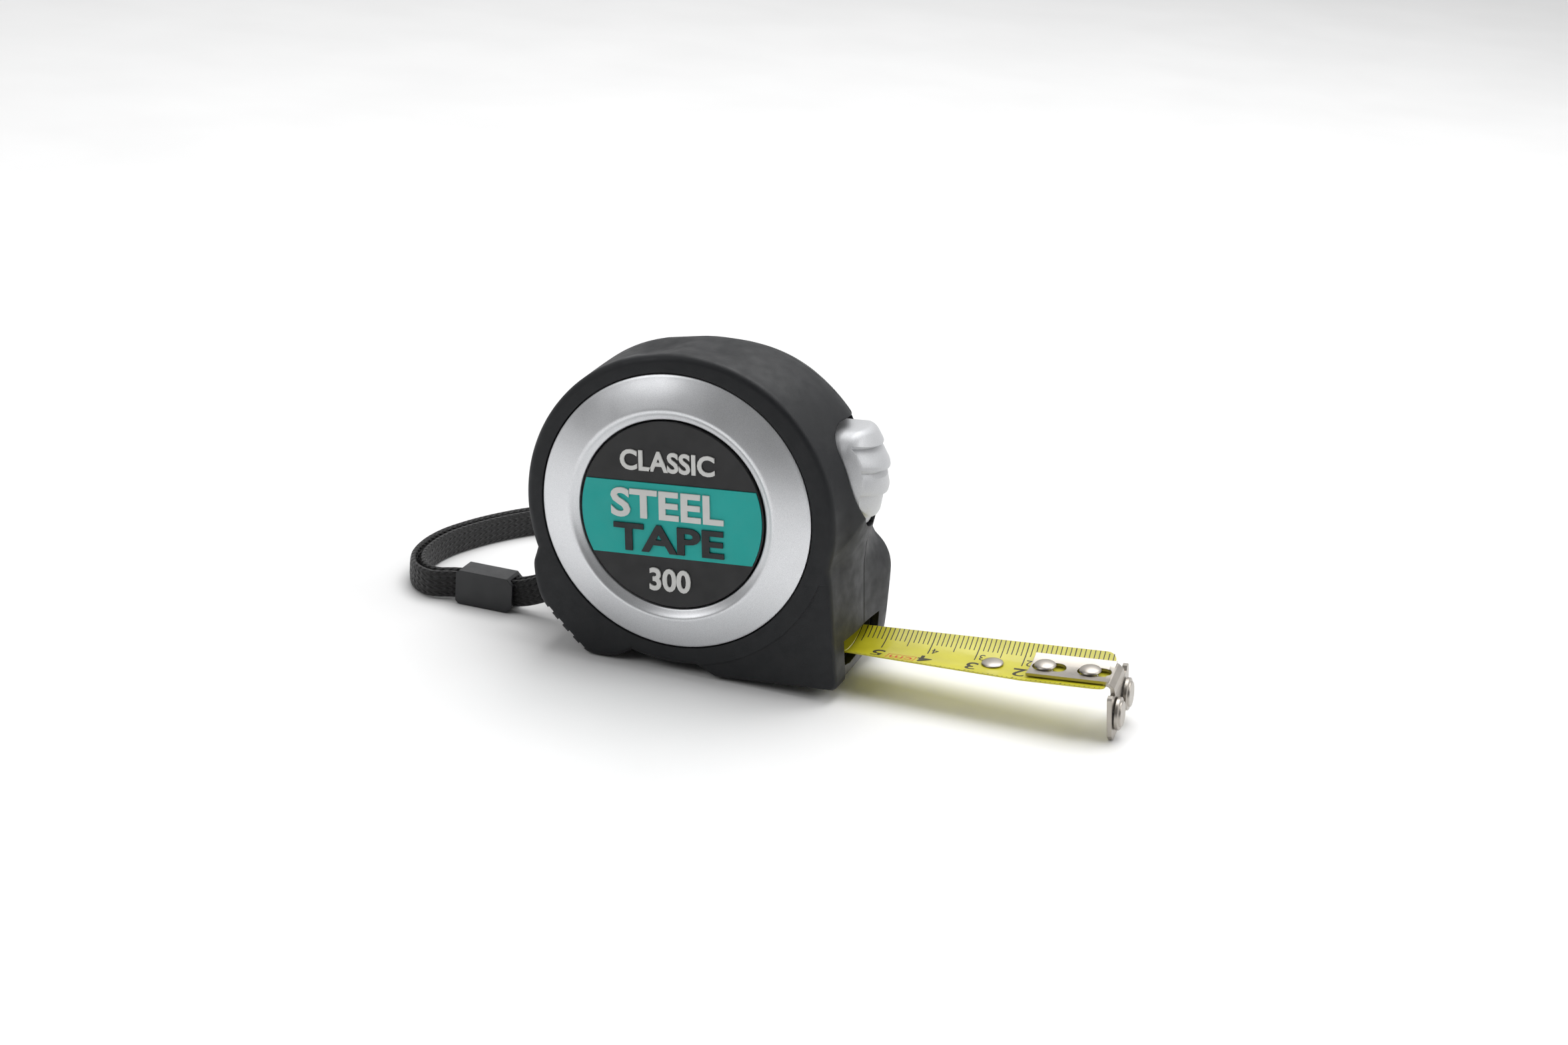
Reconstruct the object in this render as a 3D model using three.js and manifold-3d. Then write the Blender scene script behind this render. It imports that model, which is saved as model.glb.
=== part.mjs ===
// Pocket tape measure with a push-to-release blade brake, a magnetic end hook, a belt clip and a wrist strap.
//
// The case is drawn in a case frame: the reel axis runs along Y through the origin, +X points at the mouth and
// +Z is up. The whole tape then stands as it does on a table. Its heel and toe touch the table at the back and
// the long end hook touches it in front, so the case leans back by REST_LEAN. The final origin is at the
// centre of the standing tape's footprint box, on the table. Everything is in millimetres.

import * as THREE from 'three';
import { mergeVertices } from 'three/addons/utils/BufferGeometryUtils.js';
import Module from 'manifold-3d';

const wasm = await Module();
wasm.setup();

// ---------------------------------------------------------------- driving dimensions

const GAP = 0.3; // clearance between pieces that touch
const SEGMENTS = 40; // facets round a full circle

// case
const HALF_WIDTH = 15.4; // case face, without the bezel
const FAR_TAPER = { slope: 0.42, from: 0.5 }; // the clip side of the rim falls away towards its face
const PARTING_Y = 1.5; // joint between the two halves
const SIDE_RADIUS = 33.2; // round back of the case at its side edges
const MID_RADIUS = 33.4; // the same at the middle of the case
const FRONT_SIDE = { x: 1.0, z: 0, r: 33.3 }; // front arc at the side edges
const FRONT_MID = { x: 4.6, z: -1.2, r: 34.9 }; // front arc at the middle
const BELLY_SIDE = 33.4;
const BELLY_MID = 34.5;
const RUBBER = 2.0; // overmould thickness
const EDGE_ROUNDING = 1.6;
const WALL = 1.9; // shell thickness
const SHELL_FACE = HALF_WIDTH - RUBBER;
const CAVITY_FACE = SHELL_FACE - WALL;
const HEEL = { x: -17, z: -33.6 };
const TOE_Z = -35.5;
const GUIDE_FRONT = 33.7; // front of the mouth's lower lip

// bezel ring and badge
const BEZEL = { outer: 29.2, crest: 22.3, inner: 20.3, back: SHELL_FACE + GAP, rim: 15.4, top: 18.2, lip: 17.2 };
const BADGE = { radius: 19.9, face: 17.6 };
const FAR_SCALE = 0.84; // the clip side's ring and badge are smaller by this

// blade and its path
const BLADE = { width: 16, edgeZ: -29.1, sag: 1.8, thickness: 0.3, start: 33.0, end: 87.8 };
const TWIST = { angle: 6.5, from: 35, to: 71 }; // the drawn-out blade rolls towards the badge side along its length
const BLADE_CENTRE_Z = BLADE.edgeZ - BLADE.sag;
const RETRACT = 52.6; // blade travel until the hook is at the mouth
const SLOT = { halfWidth: 9.6, topZ: -26.3 };
const CHANNEL_CLEARANCE = 0.35;

// end hook
const HOOK = { x: 88.9, thickness: 1.0, plateStart: 71.3, plateHalf: 4.6, faceHalf: 8.2, topZ: -31.2, tipZ: -41.2 };
const RIVET_X = [74.3, 83.7];
const STOP_RIVET_X = 63.2;
const MAGNET = { y: 4.3, z: -36.4, radius: 3.4, height: 1.2 };

// reel
const REEL = { flange: 21, hubOuter: 15.6, hubInner: 14.0, halfWidth: 9.6, coil: 19.0, post: 3.0 };

// thumb button and brake
const BUTTON = { halfWidth: 8.8, bottomZ: -3.4, waistZ: 9.0, topZ: 17.2, corner: 5.5, backX: 29.8 };
const BUTTON_FRONT = { x: 41.0, z: 7.6, fallDown: 3.3, fallUp: 3.8, fallSide: 4.4, rounding: 1.2 };
const BUTTON_WINDOW_TOP = 19.2;
const KEEPER = { y0: -8.6, y1: 6.9, z0: -1.5, z1: 6.0, thickness: 1.6 };
const LEVER_PIVOT = { x: 14, z: -24.3, pin: 1.2 };
const PAD = { x0: 22.5, x1: 29.5, z0: -28.6, z1: -26.9, half: 7.6 };

// fasteners: each [x, z] is a boss outside the reel
const BOSSES = [[-14.4, 19.2], [13.2, 20.0], [-26.0, -14.5]];
const BOSS = { radius: 2.3, hole: 1.4, screw: 1.1, head: 1.9, headHeight: 1.2, headY: 8.4 };

// strap
const STRAP_PIN = { x: -23.9, z: -19.7, radius: 1.4 };
const STRAP = { width: 6.0, thickness: 1.4, halfSpacing: 1.1 };
const SLIDER = { x0: -54.2, x1: -40.8, half: 3.0, z0: 0.15, z1: 7.9, slotHalf: 2.05, wall: 0.6 };
// Middle line between the two strands of the strap, from the pin to the open end of the loop. Measured from
// the foot of the reel axis on the table.
const STRAP_PATH = [
  [-25.0, 0, 12.1], [-29.5, 0, 9.4], [-34.5, 0, 6.6], [-40.0, 0, 4.5], [-47.5, 0, 4.1], [-55.0, -0.1, 3.8],
  [-60.2, -1.2, 3.4], [-64.6, 1.2, 3.2], [-67.8, 6.5, 3.2], [-69.0, 13.5, 3.2], [-68.4, 21.5, 3.2], [-66.0, 29.0, 3.2],
  [-62.4, 36.5, 3.2], [-57.0, 44.5, 3.2], [-50.0, 51.0, 3.2], [-41.0, 55.5, 3.2], [-31.0, 57.5, 3.2],
];
// The open end of the loop, out on one side and back on the other.
const STRAP_END = [
  [-22, 61, 3.2], [-12, 67.5, 3.2], [-1, 69.5, 3.2], [7.5, 65, 3.2], [10, 58, 3.2],
  [7.5, 51, 3.2], [-1, 46.5, 3.2], [-12, 48.5, 3.2], [-22, 55, 3.2],
];

// ---------------------------------------------------------------- solids

// A closed BufferGeometry as a solid that can be cut and joined.
function solid(geometry) {
  const plain = geometry.clone();
  plain.deleteAttribute('normal');
  plain.deleteAttribute('uv');
  const merged = mergeVertices(plain, 1e-4);
  const index = merged.index.array;
  return new wasm.Manifold(new wasm.Mesh({
    numProp: 3,
    vertProperties: new Float32Array(merged.attributes.position.array),
    triVerts: new Uint32Array(index),
  }));
}

// A solid back as a BufferGeometry.
function geometryOf(manifold) {
  const mesh = manifold.getMesh();
  const geometry = new THREE.BufferGeometry();
  geometry.setAttribute('position', new THREE.BufferAttribute(new Float32Array(mesh.vertProperties), 3));
  geometry.setIndex(new THREE.BufferAttribute(new Uint32Array(mesh.triVerts), 1));
  geometry.computeVertexNormals();
  return geometry;
}

function subtractAll(body, cutters) {
  return cutters.reduce((rest, cutter) => rest.subtract(cutter), body);
}

function addAll(body, others) {
  return others.reduce((sum, other) => sum.add(other), body);
}

// An axis-aligned box between two corners.
function block(x0, x1, y0, y1, z0, z1) {
  const geometry = new THREE.BoxGeometry(x1 - x0, y1 - y0, z1 - z0);
  geometry.translate((x0 + x1) / 2, (y0 + y1) / 2, (z0 + z1) / 2);
  return solid(geometry);
}

// A cylinder along Y.
function rodY(x, z, radius, y0, y1, segments = SEGMENTS) {
  const geometry = new THREE.CylinderGeometry(radius, radius, y1 - y0, segments);
  geometry.translate(x, (y0 + y1) / 2, z);
  return solid(geometry);
}

// A cylinder along Z.
function rodZ(x, y, radius, z0, z1, segments = 24) {
  const geometry = new THREE.CylinderGeometry(radius, radius, z1 - z0, segments);
  geometry.rotateX(Math.PI / 2);
  geometry.translate(x, y, (z0 + z1) / 2);
  return solid(geometry);
}

// A cylinder along X.
function rodX(y, z, radius, x0, x1, segments = 32) {
  const geometry = new THREE.CylinderGeometry(radius, radius, x1 - x0, segments);
  geometry.rotateZ(Math.PI / 2);
  geometry.translate((x0 + x1) / 2, y, z);
  return solid(geometry);
}

// A side profile of [x, z] points, extruded from y0 to y1.
function prismY(points, y0, y1) {
  const shape = new THREE.Shape(points.map(([x, z]) => new THREE.Vector2(x, z)));
  const geometry = new THREE.ExtrudeGeometry(shape, { depth: y1 - y0, bevelEnabled: false });
  geometry.rotateX(Math.PI / 2);
  geometry.translate(0, y1, 0);
  return solid(geometry);
}

// A cross-section of [y, z] points, extruded from x0 to x1.
function prismX(points, x0, x1) {
  const shape = new THREE.Shape(points.map(([y, z]) => new THREE.Vector2(y, z)));
  const geometry = new THREE.ExtrudeGeometry(shape, { depth: x1 - x0, bevelEnabled: false });
  const axes = new THREE.Matrix4().makeBasis(
    new THREE.Vector3(0, 1, 0), new THREE.Vector3(0, 0, 1), new THREE.Vector3(1, 0, 0));
  geometry.applyMatrix4(axes);
  geometry.translate(x0, 0, 0);
  return solid(geometry);
}

// A body turned about the reel axis from a closed profile of [radius, y] points.
function turned(profile, segments = 64) {
  const closed = [...profile, profile[0]].map(([r, y]) => new THREE.Vector2(r, y));
  const body = solid(new THREE.LatheGeometry(closed, segments));
  if (body.volume() > 0) return body;
  return solid(new THREE.LatheGeometry(closed.reverse(), segments));
}

// A closed body through a row of rings. Each ring is a list of [x, y, z] points, with equal counts.
function loft(rings, flatten) {
  const count = rings[0].length;
  const positions = rings.flat(2);
  const index = [];
  for (let level = 0; level < rings.length - 1; level += 1) {
    for (let i = 0; i < count; i += 1) {
      const a = level * count + i;
      const b = level * count + ((i + 1) % count);
      index.push(a, b, a + count, b, b + count, a + count);
    }
  }
  const cap = (level, flip) => {
    const flat = rings[level].map((point) => new THREE.Vector2(...flatten(point)));
    for (const [a, b, c] of THREE.ShapeUtils.triangulateShape(flat, [])) {
      const base = level * count;
      index.push(base + a, base + (flip ? c : b), base + (flip ? b : c));
    }
  };
  cap(0, true);
  cap(rings.length - 1, false);
  const geometry = new THREE.BufferGeometry();
  geometry.setAttribute('position', new THREE.Float32BufferAttribute(positions, 3));
  geometry.setIndex(index);
  const body = solid(geometry);
  if (body.volume() > 0) return body;
  geometry.setIndex(index.reverse());
  return solid(geometry);
}

// A body through [x, z] outlines at different y.
function loftY(levels) {
  return loft(levels.map(({ y, points }) => points.map(([x, z]) => [x, y, z])), ([x, , z]) => [x, z]);
}

// A body through [y, z] sections at different x.
function loftX(levels) {
  return loft(levels.map(({ x, points }) => points.map(([y, z]) => [x, y, z])), ([, y, z]) => [y, z]);
}

// ---------------------------------------------------------------- case outline

const degrees = (angle) => THREE.MathUtils.degToRad(angle);
const mix = THREE.MathUtils.lerp;

// Points on an arc, in degrees, both ends included.
function arc(x, z, radius, from, to, steps) {
  const points = [];
  for (let i = 0; i <= steps; i += 1) {
    const angle = degrees(mix(from, to, i / steps));
    points.push([x + radius * Math.cos(angle), z + radius * Math.sin(angle)]);
  }
  return points;
}

// Front edge of the case beside and at the middle of the mouth, from the toe up to the front arc.
const FRONT_EDGE_BADGE_SIDE = [
  [33.3, TOE_Z], [34.2, -34.9], [34.3, -33.4], [33.9, -30.5], [33.5, -18.0], [33.4, -15.2], [33.2, -12.4], [32.8, -9.6],
];
const FRONT_EDGE_MID = [
  [33.4, TOE_Z], [34.7, -34.9], [35.2, -33.4], [35.1, -30.5], [35.1, -18.0], [35.1, -15.2], [35.2, -12.4], [35.9, -8.0],
];
const FRONT_EDGE_CLIP_SIDE = [
  [33.4, TOE_Z], [34.7, -34.9], [35.2, -33.4], [36.0, -30.5], [37.3, -18.0], [37.2, -15.2], [36.4, -12.8], [34.6, -10.6],
];
// Squared heel behind the belly, from the round back down to the belly.
const HEEL_EDGE = [
  [-31.9, -12.4], [-32.6, -14.4], [-32.2, -18.6], [-31.0, -22.8], [-26.4, -28.2],
  [-21.6, -33.0], [-19.6, HEEL.z], [-14.9, HEEL.z], [-12.4, -32.5],
];

// How far the rim has fallen in at y: the clip side tapers over the top of the case, but not at its heel and toe.
function taperAt(y, x, z) {
  const up = THREE.MathUtils.smoothstep(z + 0.25 * x, -9, 9);
  const back = 1 - 0.55 * THREE.MathUtils.smoothstep(x, -4, 24);
  return Math.max(0, y - FAR_TAPER.from) * FAR_TAPER.slope * up * back;
}

// Outline of the case at y: crown is 0 at the side edges and 1 at the middle, inset shrinks it.
function caseOutline(crown, inset, y) {
  const back = mix(SIDE_RADIUS, MID_RADIUS, crown);
  const belly = mix(BELLY_SIDE, BELLY_MID, crown);
  const front = arc(
    mix(FRONT_SIDE.x, FRONT_MID.x, crown), mix(FRONT_SIDE.z, FRONT_MID.z, crown),
    mix(FRONT_SIDE.r, FRONT_MID.r, crown), mix(-12, 6, crown), 97, 20);
  const edge = y < 0 ? FRONT_EDGE_BADGE_SIDE : FRONT_EDGE_CLIP_SIDE;
  const points = [
    ...edge.map(([x, z], i) => [mix(x, FRONT_EDGE_MID[i][0], crown), mix(z, FRONT_EDGE_MID[i][1], crown)]),
    ...front,
    ...arc(0, 0, back, 101, 199, 18),
    ...HEEL_EDGE,
    ...arc(0, 0, belly, 251, 276, 5),
    [7.9, TOE_Z],
    [20, TOE_Z],
  ];
  return points.map(([x, z]) => {
    const radius = Math.hypot(x, z);
    const scale = (radius - inset - taperAt(y, x, z)) / radius;
    return [x * scale, z * scale];
  });
}

// Solid of the case shape between two faces, shrunk by inset, with edges rounded by edge.
function caseBody(face, inset, edge = 0) {
  const crownAt = (y) => Math.cos((Math.min(Math.abs(y), 13.4) / 13.4) * (Math.PI / 2)) ** 1.2;
  const ys = [-10.5, -6.5, 0, 6.5, 10.5].filter((y) => Math.abs(y) < face - 1.5);
  const rounding = [[0, edge], [0.3 * edge, 0.3 * edge], [edge, 0]];
  const levels = rounding.map(([step, shrink]) => ({ y: -face + step, inset: inset + shrink }));
  for (const y of ys) levels.push({ y, inset });
  for (const [step, shrink] of rounding.reverse()) levels.push({ y: face - step, inset: inset + shrink });
  const distinct = levels.filter((level, i) => i === 0 || level.y - levels[i - 1].y > 1e-6);
  return loftY(distinct.map((level) => ({ y: level.y, points: caseOutline(crownAt(level.y), level.inset, level.y) })));
}

// Roll of the blade at x, in degrees.
function twistAt(x) {
  return TWIST.angle * THREE.MathUtils.clamp((x - TWIST.from) / (TWIST.to - TWIST.from), 0, 1);
}

// A [y, z] point rolled about the blade's edge on the clip side.
function rolled([y, z], angle) {
  const turn = degrees(angle);
  const across = y - BLADE.width / 2;
  const up = z - BLADE.edgeZ;
  return [
    BLADE.width / 2 + across * Math.cos(turn) - up * Math.sin(turn),
    BLADE.edgeZ + across * Math.sin(turn) + up * Math.cos(turn),
  ];
}

// Cross-section of the dished blade, as [y, z] points.
function bladeSection(roll, lift = 0, half = BLADE.width / 2, thickness = BLADE.thickness) {
  const steps = 8;
  const top = [];
  const bottom = [];
  for (let i = 0; i <= steps; i += 1) {
    const y = mix(-half, half, i / steps);
    const z = BLADE_CENTRE_Z + lift + BLADE.sag * (y / (BLADE.width / 2)) ** 2;
    top.push([y, z]);
    bottom.push([y, z - thickness]);
  }
  return [...bottom, ...top.reverse()].map((point) => rolled(point, roll));
}

// Cross-section of the clear way that the blade needs: from the level blade down to the rolled one.
function channelSection(roll) {
  const clear = CHANNEL_CLEARANCE;
  const level = bladeSection(0);
  const low = bladeSection(roll);
  const half = level.length / 2;
  const reach = (y) => y * (1 + clear / (BLADE.width / 2));
  return level.map(([y, z], i) => [reach(y), i < half ? low[i][1] - clear : z + clear]);
}

// ---------------------------------------------------------------- case pieces

// Everything that opens the case: mouth, blade channel, button window and strap hole.
function caseOpenings() {
  const mouth = block(31.5, 44, -SLOT.halfWidth, SLOT.halfWidth, -44, SLOT.topZ);
  const throat = block(17, 32, -SLOT.halfWidth, SLOT.halfWidth, -33.2, -28.5)
    .add(block(26, 32, -SLOT.halfWidth, SLOT.halfWidth, -29, SLOT.topZ));
  const channel = loftX([-21.5, -17.5, 0, 18.5, 33].map((x) => ({ x, points: channelSection(twistAt(x + RETRACT)) })));
  const rivetGroove = block(6, 33, -3.8, 3.4, -33.2, BLADE_CENTRE_Z);
  const button = prismX(buttonOutline(0.4, BUTTON_WINDOW_TOP), 24, 46);
  const keeper = block(24, BUTTON.backX + KEEPER.thickness + GAP, KEEPER.y0 - GAP, KEEPER.y1 + GAP,
    KEEPER.z0 - GAP, KEEPER.z1 + GAP);
  return [mouth, throat, channel, rivetGroove, button, keeper, strapHole()];
}

// Front view of the button as [y, z] points: rounded top corners and a narrow round foot.
function buttonOutline(grow, top) {
  const half = BUTTON.halfWidth + grow;
  const depth = BUTTON.waistZ - BUTTON.bottomZ + grow;
  const foot = arc(0, 0, 1, 180, 360, 16).map(([y, z]) => [y * half, BUTTON.waistZ + z * depth]);
  const corner = BUTTON.corner;
  return [
    ...foot,
    ...arc(half - corner, top - corner, corner, 0, 90, 5),
    ...arc(-half + corner, top - corner, corner, 90, 180, 5),
  ];
}

// Slanted slot through the heel, from the strap pin to the outside.
function strapHole() {
  const slot = new THREE.BoxGeometry(19, 5.2, 7.2);
  slot.translate(-9.5 - STRAP_PIN.radius, 0, 0);
  slot.rotateY(degrees(-28));
  slot.translate(STRAP_PIN.x, 0, STRAP_PIN.z);
  return solid(slot);
}

const OPENINGS = caseOpenings();

// One half of the case between its parting plane and its face; side is -1 or 1.
function halfOf(body, side) {
  const cut = side < 0 ? PARTING_Y - GAP / 2 : PARTING_Y + GAP / 2;
  const half = side < 0 ? block(-60, 60, -30, cut, -60, 60) : block(-60, 60, cut, 30, -60, 60);
  return body.intersect(half);
}

function shell(side) {
  const outer = caseBody(SHELL_FACE, RUBBER + GAP);
  const cavity = caseBody(CAVITY_FACE, RUBBER + GAP + WALL);
  const bosses = BOSSES.map(([x, z]) => rodY(x, z, BOSS.radius, -SHELL_FACE + 0.5, SHELL_FACE - 0.5, 20)
    .intersect(outer));
  const pinBosses = [
    rodY(LEVER_PIVOT.x, LEVER_PIVOT.z, 2.4, side < 0 ? -12.5 : 8.4, side < 0 ? -8.4 : 12.5, 20),
    rodY(STRAP_PIN.x, STRAP_PIN.z, 2.8, side < 0 ? -12.5 : 4.2, side < 0 ? -4.2 : 12.5, 20),
    rodY(0, 0, 5.2, side < 0 ? -12.5 : 10.4, side < 0 ? -10.4 : 12.5, 24),
  ];
  let half = halfOf(addAll(outer.subtract(cavity), bosses), side);
  half = addAll(half, pinBosses);
  const holes = [
    rodY(LEVER_PIVOT.x, LEVER_PIVOT.z, LEVER_PIVOT.pin + GAP, -11.6, 11.6, 16),
    rodY(STRAP_PIN.x, STRAP_PIN.z, STRAP_PIN.radius + GAP, -11.6, 11.6, 16),
    rodY(0, 0, REEL.post + GAP, -12.0, 12.0, 24),
    ...BOSSES.map(([x, z]) => rodY(x, z, BOSS.hole, -6, 14, 16)),
    ...BOSSES.map(([x, z]) => rodY(x, z, BOSS.head + GAP, BOSS.headY - GAP, 14, 20)),
  ];
  return subtractAll(half, [...OPENINGS, ...holes]);
}

// Rubber skin over one shell, open round the bezel ring, with grip teeth on the heel.
function overmould(side) {
  const skin = caseBody(HALF_WIDTH, 0, EDGE_ROUNDING);
  const inside = caseBody(SHELL_FACE + GAP / 2, RUBBER);
  const ringScale = side < 0 ? 1 : FAR_SCALE;
  const face = rodY(0, 0, BEZEL.outer * ringScale + GAP, side < 0 ? -20 : 10, side < 0 ? -10 : 20, 64);
  const overBlade = block(-21.5, 33, -8.4, 8.4, BLADE.edgeZ - 1, -26).add(block(-21.5, 33, -4.6, 4.6, BLADE_CENTRE_Z, -26));
  return subtractAll(halfOf(skin, side), [inside, face, overBlade, ...OPENINGS, ...heelGrooves()]);
}

// Square grooves across the heel that leave a row of grip teeth.
function heelGrooves() {
  const from = new THREE.Vector2(-30.9, -22.9);
  const to = new THREE.Vector2(-21.9, -32.7);
  const along = to.clone().sub(from);
  const angle = Math.atan2(along.y, along.x);
  const grooves = [];
  for (let i = 0; i < 4; i += 1) {
    const centre = from.clone().addScaledVector(along, (i + 0.75) / 4);
    const box = new THREE.BoxGeometry(1.5, 50, 1.9);
    box.rotateY(-angle);
    box.translate(centre.x, 0, centre.y);
    grooves.push(solid(box));
  }
  return grooves;
}

// Conical bezel ring on one face.
function bezel(side) {
  const profile = [
    [BEZEL.outer, BEZEL.back], [BEZEL.outer, BEZEL.rim], [BEZEL.crest, BEZEL.top],
    [BEZEL.inner, BEZEL.lip], [BEZEL.inner, BEZEL.back],
  ];
  const scale = side < 0 ? 1 : FAR_SCALE;
  return turned(profile.map(([r, y]) => [r * scale, side * y]));
}

// Soft round badge inside the bezel ring.
function badge(side) {
  const y = [BADGE.face, BEZEL.back].map((value) => side * value);
  return rodY(0, 0, BADGE.radius * (side < 0 ? 1 : FAR_SCALE), Math.min(...y), Math.max(...y), 64);
}

// Hard lower lip of the mouth, dished under the blade.
function mouthGuide() {
  const half = SLOT.halfWidth - GAP;
  const floor = -34.9;
  const top = [[half, -31.0], [6, -32.2], [3, -33.0], [-4, -33.2], [-7, -32.6], [-half, -31.6]];
  return prismX([[half, floor], ...top, [-half, floor]], 31.8, GUIDE_FRONT);
}

// ---------------------------------------------------------------- reel

function spoolPost() {
  const post = rodY(0, 0, REEL.post, -11.7, 11.7, 24);
  return post.subtract(block(-0.4, 0.4, -7.8, 7.8, 0, 6));
}

function reelDrum() {
  return turned([
    [REEL.post + GAP, -REEL.halfWidth], [REEL.flange, -REEL.halfWidth], [REEL.flange, -8.8],
    [REEL.hubOuter, -8.8], [REEL.hubOuter, 8.5], [REEL.hubInner, 8.5], [REEL.hubInner, -8.8],
    [REEL.post + GAP, -8.8],
  ], 48);
}

function drumCover() {
  return turned([
    [REEL.post + GAP, 8.8], [REEL.flange, 8.8], [REEL.flange, REEL.halfWidth],
    [REEL.post + GAP, REEL.halfWidth],
  ], 48);
}

// Flat power spring wound between the post and the drum.
function powerSpring() {
  const turns = 6;
  const perTurn = 20;
  const strip = 0.5;
  const inner = 3.9;
  const outer = REEL.hubInner - GAP - strip;
  const spiral = (offset) => {
    const points = [];
    for (let i = 0; i <= turns * perTurn; i += 1) {
      const angle = (i / perTurn) * Math.PI * 2;
      const radius = mix(inner, outer, i / (turns * perTurn)) + offset;
      points.push([radius * Math.cos(angle), radius * Math.sin(angle)]);
    }
    return points;
  };
  return prismY([...spiral(strip), ...spiral(0).reverse()], -8.2, 8.2);
}

// The blade still wound on the drum.
function bladeCoil() {
  const half = BLADE.width / 2;
  return turned([
    [REEL.hubOuter + GAP, -half], [REEL.coil, -half], [REEL.coil, half], [REEL.hubOuter + GAP, half],
  ], 56);
}

// The stretch of blade between the coil and the mouth: flat where it leaves the coil's lower back, then along
// the case floor and dished again before the mouth.
function bladeFeed() {
  const leave = degrees(228);
  const radius = REEL.coil + 0.6;
  const floor = BLADE.edgeZ;
  const start = new THREE.Vector2(radius * Math.cos(leave), radius * Math.sin(leave));
  const bend = new THREE.CubicBezierCurve(
    start, start.clone().add(new THREE.Vector2(7, -7.8)), new THREE.Vector2(-6, floor), new THREE.Vector2(4, floor));
  const stations = [];
  for (let i = 0; i <= 14; i += 1) {
    const along = bend.getTangent(i / 14);
    stations.push({ at: bend.getPoint(i / 14), down: new THREE.Vector2(along.y, -along.x), dished: 0 });
  }
  for (const [x, dished] of [[9, 0], [14, 0.25], [19, 0.75], [24, 1], [BLADE.start - GAP, 1]]) {
    stations.push({ at: new THREE.Vector2(x, floor), down: new THREE.Vector2(0, -1), dished });
  }
  const section = bladeSection(0, 0, 7.9);
  return loft(stations.map(({ at, down, dished }) => section.map(([y, z], i) => {
    const under = i < section.length / 2 ? BLADE.thickness : 0;
    const depth = mix(under, floor - z, dished);
    return [at.x + down.x * depth, y, at.y + down.y * depth];
  })), ([, y, z]) => [y, z]);
}

// ---------------------------------------------------------------- blade and end hook

function blade() {
  const stations = [BLADE.start, TWIST.from, 44, 53, 62, TWIST.to, BLADE.end];
  const strip = loftX(stations.map((x) => ({ x, points: bladeSection(twistAt(x)) })));
  const corner = 2.2;
  const corners = [-1, 1].map((side) => {
    const half = BLADE.width / 2;
    const square = block(BLADE.end - corner, BLADE.end + 1, ...(side < 0 ? [-half - 1, -half + corner]
      : [half - corner, half + 1]), -33, -27);
    return onTwist(square.subtract(rodZ(BLADE.end - corner, side * (half - corner), corner, -34, -26)), BLADE.end);
  });
  const holes = [...RIVET_X, STOP_RIVET_X].map((x) => onTwist(rodZ(x, 0, 1.7, -34, -28, 20), x));
  return subtractAll(strip, [...corners, ...holes]);
}

// A body drawn on the level blade, rolled with it at x.
function onTwist(body, x) {
  const [y, z] = [BLADE.width / 2, BLADE.edgeZ];
  return body.translate([0, -y, -z]).rotate([twistAt(x), 0, 0]).translate([0, y, z]);
}

// Rivet through the blade: shank, wide head above and small head below.
function rivet(x, headZ, headHeight, headRadius) {
  const under = BLADE_CENTRE_Z - BLADE.thickness - GAP;
  const dome = new THREE.LatheGeometry([
    [0, 0], [headRadius, 0], [headRadius * 0.92, headHeight * 0.4], [headRadius * 0.62, headHeight * 0.82],
    [0, headHeight],
  ].map(([r, h]) => new THREE.Vector2(r, h)), 24);
  dome.rotateX(Math.PI / 2);
  dome.translate(x, 0, headZ);
  const pin = [rodZ(x, 0, 1.35, under - 0.1, headZ + 0.1), rodZ(x, 0, 2.0, under - 0.4, under)];
  return onTwist(addAll(solid(dome), pin), x);
}

// Bent steel hook: dished plate on the blade, bend, and a wide face with two small ears.
function endHook() {
  const lift = BLADE.thickness + 0.0;
  const section = bladeSection(0, lift + 0.7, HOOK.plateHalf, 0.7);
  const plate = prismX(section, HOOK.plateStart, HOOK.x - 0.6);
  const slots = RIVET_X.map((x) => block(x - 1.8, x + 2.6, -1.8, 1.8, -33, -28).add(rodZ(x + 2.6, 0, 1.8, -33, -28))
    .add(rodZ(x - 0.9, 0, 1.8, -33, -28)));
  const bend = prismY([
    [HOOK.x - 1.6, -29.65], [HOOK.x - 0.3, -29.8], [HOOK.x + 0.7, -30.7], [HOOK.x + 1, -32.4], [HOOK.x, -32.4],
    [HOOK.x - 0.1, -30.9], [HOOK.x - 0.5, -30.5], [HOOK.x - 1.6, -30.25],
  ], -HOOK.plateHalf, HOOK.plateHalf);
  const half = HOOK.faceHalf;
  const face = prismX([
    [-half + 1.2, HOOK.tipZ], [half - 1.2, HOOK.tipZ], [half, HOOK.tipZ + 1.4], [half, HOOK.topZ - 0.4],
    [half - 0.5, HOOK.topZ], [half - 1.5, HOOK.topZ], [half - 2.2, HOOK.topZ - 0.9], [-half + 2.2, HOOK.topZ - 0.9],
    [-half + 1.5, HOOK.topZ], [-half + 0.5, HOOK.topZ], [-half, HOOK.topZ - 0.4], [-half, HOOK.tipZ + 1.4],
  ], HOOK.x, HOOK.x + HOOK.thickness);
  return onTwist(subtractAll(addAll(plate, [bend, face]), slots), HOOK.x);
}

// Stepped disc magnet on the hook's face.
function hookMagnet(side) {
  const x = HOOK.x + HOOK.thickness + GAP;
  const disc = rodX(side * MAGNET.y, MAGNET.z, MAGNET.radius, x, x + MAGNET.height * 0.6);
  return onTwist(disc.add(rodX(side * MAGNET.y, MAGNET.z, MAGNET.radius - 0.8, x, x + MAGNET.height)), x);
}

// ---------------------------------------------------------------- button and brake

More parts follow.
